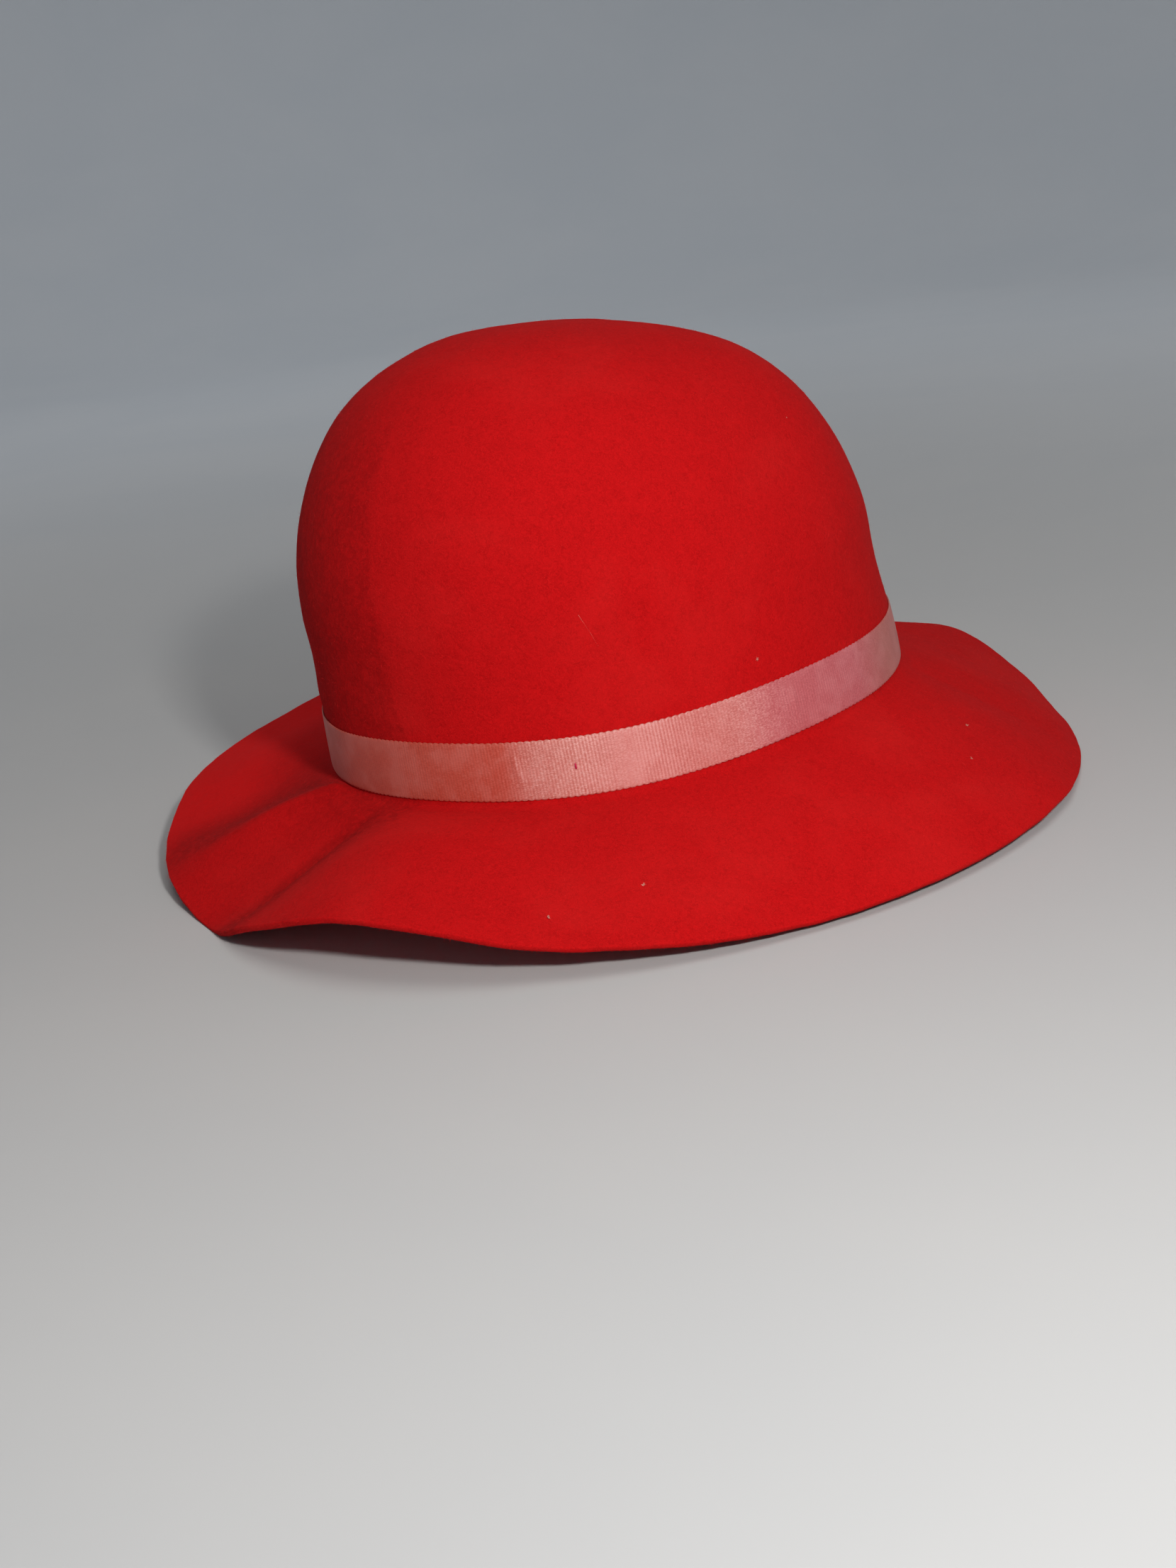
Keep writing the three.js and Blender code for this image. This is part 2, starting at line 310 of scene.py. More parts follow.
def brim_slope(azimuth):
    """The slope on a smooth closed curve through the rows of the table."""
    rows = np.array(BRIM_SLOPES, float)
    at = np.concatenate([rows[-2:, 0] - 360, rows[:, 0], rows[:2, 0] + 360])
    slope = np.concatenate([rows[-2:, 1], rows[:, 1], rows[:2, 1]])
    tangent = (slope[2:] - slope[:-2]) / (at[2:] - at[:-2])
    here = np.mod(azimuth, 360)
    start = np.searchsorted(at, here, side="right") - 1
    span = at[start + 1] - at[start]
    t = (here - at[start]) / span
    return (
        (2 * t**3 - 3 * t**2 + 1) * slope[start]
        + (t**3 - 2 * t**2 + t) * span * tangent[start - 1]
        + (3 * t**2 - 2 * t**3) * slope[start + 1]
        + (t**3 - t**2) * span * tangent[start]
    )


quarters = np.array([0, 90, 180, 270])
print("brim falls", brim_slope(quarters).round(1), "degrees at azimuths", quarters)

# %% [markdown]
# The folds are low ridges and valleys that run out across the brim. Soft felt creases rather than
# rolls: a fold has a narrow line where the felt turns, which the coarse solid can't hold, so each
# fold here is a broad wave with a sharper line on top. A crease drawn by hand with a sculpting
# brush would look as good, but it would not follow if a fold had to be moved.

# %% Folds and creases of the brim
BRIM_FOLDS = [  # azimuth at the break and at the edge, spread, rise, start and end as width shares
    (236, 242, 9.0, -2.2, 0.0, 1.0),
    (256, 246, 4.5, 3.0, -0.1, 1.0),
    (275, 267, 5.0, -3.6, 0.05, 1.08),
    (45, 41, 8.0, -2.0, -0.1, 0.9),
]
FOLD_CREASES = [  # azimuth at the break and the edge, width before and after it, rise, start, end
    (257.5, 247.5, 3.2, 10.0, 2.6, -0.3, 0.97),
    (274.5, 267.5, 9.0, 3.0, -2.4, 0.0, 0.99),
    (45, 41, 5.0, 14.0, -1.6, -0.1, 0.9),
]
BRIM_SWELL = (289, 15.0, 0.42, 0.24, 2.6)  # azimuth, spread, share of the width, how wide, rise
SWELL_FREE_AT = 0.1  # share of the width inside which the break holds the swell down


def turned_from(azimuth, other):
    """How far in degrees an azimuth is from another one, from -180 to 180."""
    return np.mod(azimuth - other + 180, 360) - 180


def fold_place(azimuth, share, at_break, at_edge, start, end):
    """How far in degrees points are from a fold's line, and how strong the fold is there."""
    away = turned_from(azimuth, at_break + (at_edge - at_break) * share)
    return away, np.sin(math.pi * np.clip((share - start) / (end - start), 0, 1))


def fold_rise(azimuth, share):
    """How much the folds and their creases lift the brim."""
    total = np.zeros(np.broadcast(azimuth, share).shape)
    for at_break, at_edge, spread, rise, start, end in BRIM_FOLDS:
        away, strength = fold_place(azimuth, share, at_break, at_edge, start, end)
        total += rise * strength * np.exp(-0.5 * (away / spread) ** 2)
    for at_break, at_edge, before, after, rise, start, end in FOLD_CREASES:
        away, strength = fold_place(azimuth, share, at_break, at_edge, start, end)
        total += rise * strength * np.exp(-np.abs(away) / np.where(away < 0, before, after))
    towards, spread, place, wide, rise = BRIM_SWELL
    aside, outside = turned_from(azimuth, towards) / spread, (share - place) / wide
    swell = rise * smoothstep(share, 0, SWELL_FREE_AT) * np.exp(-0.5 * (aside**2 + outside**2))
    return total + swell


lift = fold_rise(np.arange(360.0), 0.5)
print("half-way out, the folds lift the brim", lift.min().round(1), "to", lift.max().round(1), "mm")

# %% [markdown]
# The brim starts at the break, which is the line where the crown turns into it. On a real hat that
# line is a small round inside corner, because thick felt can't turn sharply, so a short curve
# bridges from the crown to the brim.

# %% Points on the brim and in the break
BRIM_WIDTH, BRIM_WIDER_BY, BRIM_WIDER_AT = 63.0, 2.5, 57.0
BRIM_DROOP = 0.35  # share of the slope that comes in gradually on the way out
BREAK_UP, BREAK_OUT = 2.0, 4.0  # how much of the crown and of the brim the rounding takes


def brim_point(azimuth, share):
    """Points on the upper side of the brim, at a share of its width out from the break."""
    azimuth, share = np.broadcast_arrays(azimuth, share)
    out = heading(azimuth)
    width = BRIM_WIDTH + BRIM_WIDER_BY * np.cos(np.radians(azimuth - BRIM_WIDER_AT))
    slope = np.radians(brim_slope(azimuth) * (1 - BRIM_DROOP + BRIM_DROOP * share))
    outwards = out / [HALF_WIDTH, HALF_LENGTH, 1]
    outwards /= np.linalg.norm(outwards, axis=-1, keepdims=True)
    reach = share * width * np.cos(slope)
    point = out * [HALF_WIDTH, HALF_LENGTH, 0] + outwards * reach[..., None]
    point[..., 2] = break_rise(azimuth) + fold_rise(azimuth, share) - share * width * np.sin(slope)
    return point


def break_point(azimuth, t):
    """The rounded inside corner, from the crown (t = 0) to the brim (t = 1)."""
    above, corner = crown_point(azimuth, BREAK_UP), crown_point(azimuth, 0.0)
    below = brim_point(azimuth, BREAK_OUT / BRIM_WIDTH)
    return (1 - t) ** 2 * above + 2 * t * (1 - t) * corner + t**2 * below


print("brim", BRIM_WIDTH, "mm wide, its edge at", brim_point(0.0, 1.0).round(1))

# %% [markdown]
# ## How the hat rests
# A hat with a wavy brim doesn't stand level: it tips until three low places of the brim touch the
# table. Its points are worked out upright and then set down in this one function, so every piece
# tips by the same amount.

# %% Set the hat down
REST_TILT, REST_AWAY_FROM = 2.75, 19.0  # how far the hat's axis leans, and away from which azimuth
SEAT = np.array([2.1, -2.9, 28.8])  # where the upright hat's origin comes to lie


def set_down(point):
    """Tips upright points to the way the hat rests, and sets them on the floor, in metres."""
    lean = heading(REST_AWAY_FROM) * math.sin(math.radians(REST_TILT))
    lean[2] = math.cos(math.radians(REST_TILT))
    tip = np.array(Vector(lean).rotation_difference(Vector((0, 0, 1))).to_matrix())
    return (point @ tip.T + SEAT) * MM


print("the tip of the crown rests at", set_down(crown_point(0.0, CROWN_HEIGHT)).round(4), "m")

# %% [markdown]
# ## The felt
# Rings of points follow each other over the whole skin: down the outside of the crown, out to the
# cut edge, and back along the inside. Columns of points at most 2 mm apart are enough for the
# folds. The nap is far finer than that, and is left to the finish and to the loose fibres.

# %% Rings on the outside of the felt
COLUMNS = 480
AZIMUTHS = np.arange(COLUMNS) * 360 / COLUMNS
DOME_RINGS, WALL_RINGS, BREAK_RINGS, BRIM_RINGS = 40, 24, 5, 30
RIM_SHARES = [0.985, 0.996, 1.0]  # shares of the brim's width where the last rings crowd together


def outer_rings():
    """All the points of the felt's outside, from the tip of the crown to the edge of the brim."""
    dome_turn = np.pi / 2 * (1 - np.arange(1, DOME_RINGS + 1) / DOME_RINGS)
    dome = WALL_HEIGHT + (CROWN_HEIGHT - WALL_HEIGHT) * np.sin(dome_turn) ** (2 / SHOULDER)
    wall = np.linspace(WALL_HEIGHT, BREAK_UP, WALL_RINGS)[1:]
    crown = crown_point(AZIMUTHS, np.concatenate([dome, wall])[:, None])
    turn = (np.arange(1, BREAK_RINGS + 1) / (BREAK_RINGS + 1))[:, None, None]
    inside_corner = break_point(AZIMUTHS, turn)
    even_shares = np.linspace(BREAK_OUT / BRIM_WIDTH, RIM_SHARES[0], BRIM_RINGS)
    brim = brim_point(AZIMUTHS, np.append(even_shares, RIM_SHARES[1:])[:, None])
    return np.concatenate([crown, inside_corner, brim])


def ring_normals(rings):
    """Unit normals that point out of the hat, from each point's neighbours."""
    tip = np.repeat(crown_point(0.0, CROWN_HEIGHT)[None, None], COLUMNS, axis=1)
    above = np.concatenate([tip, rings[:-1]])
    below = np.concatenate([rings[1:], rings[-1:]])
    normal = np.cross(below - above, np.roll(rings, -1, axis=1) - np.roll(rings, 1, axis=1))
    return normal / np.linalg.norm(normal, axis=-1, keepdims=True)


outer = outer_rings()
past_crown = np.arange(len(outer))[:, None] - DOME_RINGS - WALL_RINGS  # in rings
on_crown = past_crown < 0
print("felt rings:", len(outer), "outside, of", COLUMNS, "points each")

# %% [markdown]
# Hand-blocked felt is never quite even. A Displace modifier could push it about, but then the
# ribbon's seat would be uneven as well. So low, wide waves from a noise function are added to the
# points themselves, and fade out under the ribbon and in the break.

# %% Uneven felt
UNEVENNESS = [(34.0, 0.55), (13.0, 0.22), (5.0, 0.07)]  # size of the waves and their height, mm
UNEVEN_SEED = 7
SEAT_FOOT, SEAT_HEAD = (-3, 0), (RIBBON_TOP + 1, RIBBON_TOP + 9)  # mm, where the even seat fades
BREAK_FADE = (3, 10)  # rings past the crown over which the waves come back


def rough(points, size, seed):
    """A smooth noise from -1 to 1 at each point, with waves of about the given size in mm."""
    offset = Vector((seed, 2.3 * seed, 5.1 * seed))
    flat = points.reshape(-1, 3) / size
    return np.array([noise.noise(Vector(p) + offset) for p in flat]).reshape(points.shape[:-1])


level = outer[..., 2]
under_ribbon = smoothstep(level, *SEAT_FOOT) * (1 - smoothstep(level, *SEAT_HEAD))
free = np.where(on_crown, 1 - under_ribbon, smoothstep(past_crown, *BREAK_FADE))
waves = sum(
    height * rough(outer, size, UNEVEN_SEED + i) for i, (size, height) in enumerate(UNEVENNESS)
)
outer = outer + ring_normals(outer) * (waves * free)[..., None]
print("unevenness up to", np.abs(waves).max().round(2), "mm")

# %% [markdown]
# The inside is the outside moved in by the felt's thickness, square to it. A Solidify modifier
# would do that too, but building it keeps the raw edge crisp, with its own small rounding. The cut
# edge also wanders slightly in and out, as scissors do.

# %% The cut edge and the inside
FELT_THICKNESS = 2.0
EDGE_RINGS = [(0.12, 0.24), (0.5, 0.36), (0.88, 0.24)]  # share of the thickness, mm it stands out
EDGE_WANDER, WANDER_SIZE, WANDER_SEED = 0.25, 9.0, 3  # the first two in mm

inner = outer - ring_normals(outer) * FELT_THICKNESS
outwards = outer[-1] - outer[-2]
outwards /= np.linalg.norm(outwards, axis=-1, keepdims=True)
wander = EDGE_WANDER * rough(outer[-1], WANDER_SIZE, WANDER_SEED)[:, None]
edge = [
    outer[-1] * (1 - share) + inner[-1] * share + outwards * (stand + wander)
    for share, stand in EDGE_RINGS
]
outer[-1] += outwards * wander
inner[-1] += outwards * wander
lining = np.concatenate([inner[:0:-2], inner[:1]])  # every second ring is enough inside
skin = np.concatenate([outer, edge, lining])
print("edge wanders up to", np.abs(wander).max().round(2), "mm; rings in all:", len(skin))

# %% [markdown]
# The skin needs only its faces and a pole at each end. It is pressed flat where it rests, as a brim
# is by the hat's own weight.

# %% Felt mesh
tip_point = crown_point(0.0, CROWN_HEIGHT)
poles = np.array([tip_point, tip_point - [0, 0, FELT_THICKNESS]])
felt_points = set_down(np.concatenate([skin.reshape(-1, 3), poles]))
felt_points[:, 2] = np.maximum(felt_points[:, 2], 0)

top_pole, under_pole = len(skin) * COLUMNS, len(skin) * COLUMNS + 1
last_ring = (len(skin) - 1) * COLUMNS
felt_faces = strip_faces(len(skin), COLUMNS)
felt_faces += [(top_pole, c, (c + 1) % COLUMNS) for c in range(COLUMNS)]
felt_faces += [(under_pole, last_ring + (c + 1) % COLUMNS, last_ring + c) for c in range(COLUMNS)]
felt_hat = mesh_object("felt_hat", felt_points, felt_faces)
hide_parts("felt_body")
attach(felt_hat, "root")
print("felt_hat:", len(felt_faces), "faces; lowest point", felt_points[:, 2].min())

# %% [markdown]
# ## The ribbon
# Grosgrain is woven with thick cross threads, so it is ribbed from edge to edge and both edges are
# finely scalloped where the threads turn back. Ribs could be a bump, but then the edges would stay
# straight lines. They are real here: six columns of points for each rib. The band is a strip, not a
# ring: it starts behind the hat, goes once round and laps over its own beginning, which is how such
# a band is joined.

# %% Columns of points along the ribbon
RIB_PITCH, RIB_COLUMNS = 0.975, 6  # mm, and columns of points for each rib
RIBBON_JOIN, RIBBON_LAP = 118.0, 11.0  # azimuth of the join, and the length of the lap in mm
GIRTH_LEVEL, GIRTH_STEPS = 10.0, 720  # the height above the break where the girth is measured

girth = crown_point(np.linspace(0, 360, GIRTH_STEPS + 1), GIRTH_LEVEL)
ring_length = np.linalg.norm(np.diff(girth, axis=0), axis=-1).sum()
ribbon_length = ring_length + RIBBON_LAP
ribs = 2 * round(ribbon_length / RIB_PITCH / 2)
columns = ribs * RIB_COLUMNS + 1
along = np.linspace(0, 1, columns)
ribbon_azimuth = RIBBON_JOIN + along * 360 * ribbon_length / ring_length
print("ribbon:", ribs, "ribs over", round(float(ribbon_length), 1), "mm")

# %% [markdown]
# A ribbon that has been on a hat for years isn't flat: it has been sewn on a little unevenly, and
# it lifts in small ripples between its stitches. They catch the light, so they are real too, each
# one a soft bump with its own place and size.

# %% Ripples of the ribbon
RIBBON_RIPPLES = [  # azimuth, share of the width, size in mm along and across, rise in mm
    (304.6, 0.62, 0.7, 2.4, 0.30),
    (305.3, 0.38, 0.6, 1.6, 0.24),
    (300.0, 0.50, 5.0, 9.0, 0.20),
    (323.0, 0.50, 20.0, 0.5, -0.10),
    (357.4, 0.55, 0.7, 2.0, 0.28),
    (354.0, 0.35, 5.0, 6.0, 0.22),
    (344.0, 0.10, 6.0, 4.0, 0.20),
    (262.0, 0.80, 7.0, 6.0, 0.18),
    (20.0, 0.30, 8.0, 8.0, 0.20),
    (150.0, 0.70, 7.0, 6.0, 0.22),
    (205.0, 0.25, 9.0, 6.0, 0.20),
]


def ripple_rise(share):
    """How far the ripples lift one row of the ribbon, at a share of its width, in mm."""
    rise = 0
    for azimuth, middle, size_along, size_across, height in RIBBON_RIPPLES:
        aside = turned_from(ribbon_azimuth, azimuth) / 360 * ring_length / size_along
        above = (share - middle) * (RIBBON_TOP - RIBBON_BOTTOM) / size_across
        rise = rise + height * np.exp(-0.5 * (aside**2 + above**2))
    return rise


print("ripples along the ribbon's middle, mm:", ripple_rise(0.5).max().round(2))

# %% [markdown]
# Each row of points runs the whole length of the ribbon at one share of its width. Near the edges
# the rows crowd together and the ribbon thins, so that the edge is rounded and not a hard step. The
# scallops move the outer rows up and down: a cross thread turns back every two ribs, and stands out
# where it does.

# %% Rows of points along the ribbon
RIB_HEIGHT, SCALLOP = 0.055, 0.27  # mm
RIBBON_THICKNESS, RIBBON_GAP, LAP_GAP = 0.4, 0.12, 0.1  # mm
RIBBON_WAVER, RIBBON_WAVES, RIBBON_HIGH_AT = 0.55, 5, 287.0  # it isn't sewn on quite level
LAP_CLIMB = (-3, 1)  # mm before and past one whole turn, where the lap climbs over the beginning
SCALLOP_REACH = 0.08  # share of the width over which the scallops fade in from each edge
LOOP_MIDDLE = 0.6  # about the mean of a loop, so that the edge waves to both sides of its line

rib = 0.5 - 0.5 * np.cos(2 * np.pi * np.arange(columns) / RIB_COLUMNS)
loop = np.abs(np.sin(np.pi * np.arange(columns) / (2 * RIB_COLUMNS)))
waver = RIBBON_WAVER * np.cos(np.radians(RIBBON_WAVES * (ribbon_azimuth - RIBBON_HIGH_AT)))
lapping = smoothstep(along * ribbon_length, ring_length + LAP_CLIMB[0], ring_length + LAP_CLIMB[1])
lap_rise = (RIBBON_THICKNESS + RIB_HEIGHT + LAP_GAP) * lapping


def ribbon_row(share, proud, scalloped):
    """One row of points along the ribbon. Towards its edges the loops of the threads move it."""
    from_middle = share - 0.5
    end = np.clip((abs(from_middle) - (0.5 - SCALLOP_REACH)) / SCALLOP_REACH, 0, 1)
    level = RIBBON_BOTTOM + share * (RIBBON_TOP - RIBBON_BOTTOM) + waver
    level = level + SCALLOP * end * np.sign(from_middle) * (loop - LOOP_MIDDLE) * scalloped
    stands_out = RIBBON_GAP + lap_rise + proud + ripple_rise(share)
    return crown_point(ribbon_azimuth, level, stands_out)


print("the lap climbs", lap_rise.max().round(3), "mm")

# %% [markdown]
# The rows go up the outside and down the inside, and close into a flat tube whose two ends are
# capped. The inside lies on the felt and never shows, so three smooth rows are enough for it. The
# ribbon is woven flat.

# %% Ribbon mesh
EDGE_SHARES, EDGE_THIN = np.array([0.0, 0.012, 0.035]), np.array([0.45, 0.85, 1.0])
MIDDLE_SHARES = np.linspace(0.08, 0.92, 13)
INSIDE_SHARES, INSIDE_SCALLOP = (0.99, 0.5, 0.01), 0.6

outer_shares = np.concatenate([EDGE_SHARES, MIDDLE_SHARES, 1 - EDGE_SHARES[::-1]])
outer_thin = np.concatenate([EDGE_THIN, np.ones(len(MIDDLE_SHARES)), EDGE_THIN[::-1]])
section = [
    ribbon_row(share, RIBBON_THICKNESS * thin + RIB_HEIGHT * rib * thin, 1)
    for share, thin in zip(outer_shares, outer_thin)
]
section += [ribbon_row(share, 0.0, INSIDE_SCALLOP) for share in INSIDE_SHARES]
section = np.array(section)
rows = len(section)
ribbon_faces = []
for row in range(rows):
    here, there = row * columns, (row + 1) % rows * columns
    ribbon_faces += [(here + c, here + c + 1, there + c + 1, there + c) for c in range(columns - 1)]
ribbon_faces.append([row * columns for row in range(rows)])
ribbon_faces.append([row * columns + columns - 1 for row in reversed(range(rows))])
ribbon = mesh_object("grosgrain_ribbon", set_down(section.reshape(-1, 3)), ribbon_faces)
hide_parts("ribbon_band")
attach(ribbon, "root")
print("grosgrain_ribbon:", len(ribbon_faces), "faces")

# %% [markdown]
# ## Loose fibres
# Wool felt is never clean: short fibres stand off it everywhere, which is what softens the hat's
# outline, and more stick out of the cut edge. A particle system could grow them as hair, but hair
# can't be exported as a mesh. Each fibre here is a closed sliver of four triangles, all joined into
# one piece, with its root just inside the felt.

# %% Slivers
SLIVER_FACES = [(0, 2, 1), (0, 1, 3), (1, 2, 3), (2, 0, 3)]
random = np.random.default_rng(11)  # seeded, so that every run scatters the fibres alike


def slivers(roots, directions, lengths, radius):
    """Points and faces of thin closed slivers from their roots along unit directions, all in mm."""
    side = np.cross(directions, random.normal(size=directions.shape))
    side /= np.linalg.norm(side, axis=-1, keepdims=True)
    other = np.cross(directions, side)
    corners = [side, -0.5 * side + 0.87 * other, -0.5 * side - 0.87 * other]  # an even triangle
    base = [roots + corner * radius for corner in corners]
    points = np.stack([*base, roots + directions * lengths[:, None]], axis=1)
    starts = range(0, 4 * len(roots), 4)
    faces = [(start + a, start + b, start + c) for start in starts for a, b, c in SLIVER_FACES]
    return points.reshape(-1, 3), faces


def leaning(normal, lift):
    """Unit directions that stand up from the surface by an angle in degrees, a random way round."""
    flat = np.cross(normal, random.normal(size=normal.shape))
    flat /= np.linalg.norm(flat, axis=-1, keepdims=True)
    lift = np.radians(lift)[:, None]
    return flat * np.cos(lift) + normal * np.sin(lift)


print("faces of a sliver:", len(SLIVER_FACES))

# %% [markdown]
# The fibres have to be spread evenly over the felt, though its cells are small on the crown and
# large on the brim. So each fibre first picks a cell, with a chance that goes by the cell's area,
# and then a place inside it. The felt behind the ribbon gets none.

# %% Fibres on the outside of the felt
FIBRES = 22000
NAP_LIFT, NAP_LIFT_MORE = 8, 42  # degrees: the least, and how much more some fibres have
ROOT_DEPTH = 0.05  # mm
BARE_FROM, BARE_TO = -0.5, RIBBON_TOP + 1.5  # mm above the break, where the ribbon lies

cell = outer[1:, :, :] - outer[:-1, :, :]
cell_area = np.linalg.norm(np.cross(cell, np.roll(outer, -1, axis=1)[:-1] - outer[:-1]), axis=-1)
covered = (outer[:-1, :, 2] > BARE_FROM) & (outer[:-1, :, 2] < BARE_TO) & on_crown[:-1]
cell_area = np.where(covered, 0, cell_area).ravel()
picked = random.choice(cell_area.size, FIBRES, p=cell_area / cell_area.sum())
ring, column = np.divmod(picked, COLUMNS)
u, v = random.random((2, FIBRES, 1))
next_column = (column + 1) % COLUMNS
top = outer[ring, column] * (1 - u) + outer[ring, next_column] * u
bottom = outer[ring + 1, column] * (1 - u) + outer[ring + 1, next_column] * u
nap_normal = ring_normals(outer)[ring, column]
nap_root = top * (1 - v) + bottom * v - ROOT_DEPTH * nap_normal
nap_direction = leaning(nap_normal, NAP_LIFT + NAP_LIFT_MORE * random.random(FIBRES) ** 2)
print("fibres on the felt:", FIBRES, "over", round(cell_area.sum() / 100), "square cm")

# %% [markdown]
# A cut across a mat of wool leaves its fibres' ends free, so the edge of the brim is hairier than
# the rest. These fibres start anywhere in the thickness of the edge and lean outwards.

# %% Fibres of the cut edge, and the mesh
EDGE_FIBRES = 5000
EDGE_LIFT, EDGE_LIFT_MORE = 15, 60  # degrees
SHORTEST, LONGEST = 0.5, 1.7  # mm
FIBRE_RADIUS = 0.032
CLEAR_OF_FLOOR = 2.5 * MM  # no fibres where the brim lies on the floor

rim = random.random(EDGE_FIBRES) * COLUMNS
rim_column = rim.astype(int)
rim_next = (rim_column + 1) % COLUMNS
depth = random.random((EDGE_FIBRES, 1))
rim_root = outer[-1][rim_column] * (1 - depth) + inner[-1][rim_column] * depth
rim_root += (outer[-1][rim_next] - outer[-1][rim_column]) * (rim % 1)[:, None]
rim_out = outer[-1] - outer[-4]
rim_out /= np.linalg.norm(rim_out, axis=-1, keepdims=True)
rim_lift = EDGE_LIFT + EDGE_LIFT_MORE * random.random(EDGE_FIBRES)
rim_direction = leaning(rim_out[rim_column], rim_lift)
roots = np.concatenate([nap_root, rim_root])
directions = np.concatenate([nap_direction, rim_direction])
lengths = SHORTEST + (LONGEST - SHORTEST) * random.random(len(roots)) ** 2
clear = set_down(roots)[:, 2] > CLEAR_OF_FLOOR
fibre_points, fibre_faces = slivers(roots[clear], directions[clear], lengths[clear], FIBRE_RADIUS)
loose_fibres = mesh_object("loose_fibres", set_down(fibre_points), fibre_faces, smooth=False)
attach(loose_fibres, "root")
print("loose_fibres:", int(clear.sum()), "fibres,", len(fibre_faces), "triangles")

# %% [markdown]
# ## Lint
# A worn hat carries a few specks of pale lint, and here one long fibre lies across the crown as
# well. They are small, but without them the hat looks as if it had never been worn. Small balls
# would do from afar. A tangle of the same slivers looks like lint from near as well. Lint lies on
# the felt, so it has to be known which way the felt faces: a small step along it and one across it
# tell that.

# %% Where the felt is and which way it faces
AZIMUTH_STEP, LEVEL_STEP, SHARE_STEP = 0.3, 0.4, 0.01  # degrees, mm, share of the brim's width


def on_felt(maker, azimuth, place):
    """A point on the crown or brim and the normal there. The maker is crown_point or brim_point."""
    point = maker(float(azimuth), float(place))
    step = LEVEL_STEP if maker is crown_point else SHARE_STEP
    along = maker(azimuth + AZIMUTH_STEP, float(place)) - point
    across = maker(float(azimuth), place + step) - point
    normal = np.cross(along, across) if maker is crown_point else np.cross(across, along)
    return point, normal / np.linalg.norm(normal)


print("half-way out, the brim faces", on_felt(brim_point, 0, 0.5)[1].round(2))

# %% [markdown]
# The specks that show most are placed one by one, by where they lie on the crown or the brim. Each
# is a knot of short slivers that start near its middle and point every way.

# %% Specks of lint
LINT_ON_CROWN = [  # azimuth, height above the break, size of the speck in mm
    (352.0, 27.7, 1.3),
    (342.5, 100.4, 0.4),
    (24.9, 88.1, 0.45),
    (128.0, 61.0, 0.9),
    (196.0, 84.0, 0.8),
]
LINT_ON_BRIM = [  # azimuth, share of the brim's width, size of the speck in mm
    (16.3, 0.58, 1.5),
    (24.8, 0.44, 1.1),
    (321.2, 0.665, 1.6),
    (310.2, 0.834, 1.2),
    (326.5, 0.85, 0.6),
    (110.0, 0.50, 1.1),
    (190.0, 0.35, 0.8),
]
SPECK_FIBRES, SPECK_FIBRE_RADIUS, SPECK_HEIGHT = 22, 0.075, 0.15  # the last two in mm
SPECK_SPREAD = 0.35  # how far the fibres' roots lie from the middle, as a share of the speck's size
SPECK_SHORTEST, SPECK_LENGTH_MORE = 0.2, 0.3  # shares of the speck's size
SPECK_ROOT_LIFT, SPECK_LIFT, SPECK_LIFT_MORE = 30, -10, 50  # degrees


def speck(maker, azimuth, place, size):
    """Roots, directions and lengths of a tangle of short fibres no wider than the speck."""
    point, normal = on_felt(maker, azimuth, place)
    normals = np.repeat(normal[None], SPECK_FIBRES, axis=0)
    aside = leaning(normals, SPECK_ROOT_LIFT * random.random(SPECK_FIBRES))
    spread = size * SPECK_SPREAD * random.random((SPECK_FIBRES, 1))
    spots = point + normal * SPECK_HEIGHT + aside * spread
    ways = leaning(normals, SPECK_LIFT_MORE * random.random(SPECK_FIBRES) + SPECK_LIFT)
    return spots, ways, size * (SPECK_SHORTEST + SPECK_LENGTH_MORE * random.random(SPECK_FIBRES))


specks = [speck(crown_point, *row) for row in LINT_ON_CROWN]
specks += [speck(brim_point, *row) for row in LINT_ON_BRIM]
spots, ways, spans = (np.concatenate(part) for part in zip(*specks))
lint_points, lint_faces = slivers(spots, ways, spans, SPECK_FIBRE_RADIUS)
print("specks of lint:", len(specks))

# %% [markdown]
# The long fibre is bent, so it is two slivers end to end through three points on the crown. It
# joins the specks in one piece, because they are all of the same stuff.

# %% The long fibre, and the mesh
LONG_FIBRE = ((321.6, 51.8), (322.9, 46.5), (323.7, 42.4))  # azimuth and height of its three points
LONG_RADIUS, LONG_HEIGHT = 0.026, 0.25  # mm
OVERLAP = 1.05  # each part of it is this much longer than its span, so that no gap shows

on_path = [on_felt(crown_point, *at) for at in LONG_FIBRE]
path = np.array([point + LONG_HEIGHT * normal for point, normal in on_path])
steps = np.diff(path, axis=0)
span = np.linalg.norm(steps, axis=-1)
long_points, long_faces = slivers(path[:-1], steps / span[:, None], span * OVERLAP, LONG_RADIUS)
lint_faces += [tuple(len(lint_points) + p for p in face) for face in long_faces]
lint_points = np.concatenate([lint_points, long_points])
lint = mesh_object("lint", set_down(lint_points), lint_faces, smooth=False)
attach(lint, "root")
print("the long fibre is", span.sum().round(1), "mm long")

# %% [markdown]
# ## The tack stitch
# The ribbon is tacked to the felt with one tiny stitch of bright thread, which shows half-way up
# it. A curve object with a bevel would give such a thread, but it would have to be turned into a
# mesh, so the rings round a bent line are made directly. The stitch is thinner at its two ends,
# where it goes into the ribbon.

# %% Stitch mesh
STITCH = {"azimuth": 315.3, "level": 10.6, "height": 1.8, "radius": 0.27}  # degrees, then mm
STITCH_SIDES, STITCH_STEPS = 8, 9
STITCH_ARCH = 0.30  # mm, how far its middle stands off the ribbon
STITCH_SUNK = 0.3  # where it starts between the bottom and the top of the ribs
STITCH_END = 0.55  # share of its radius that is left at its ends

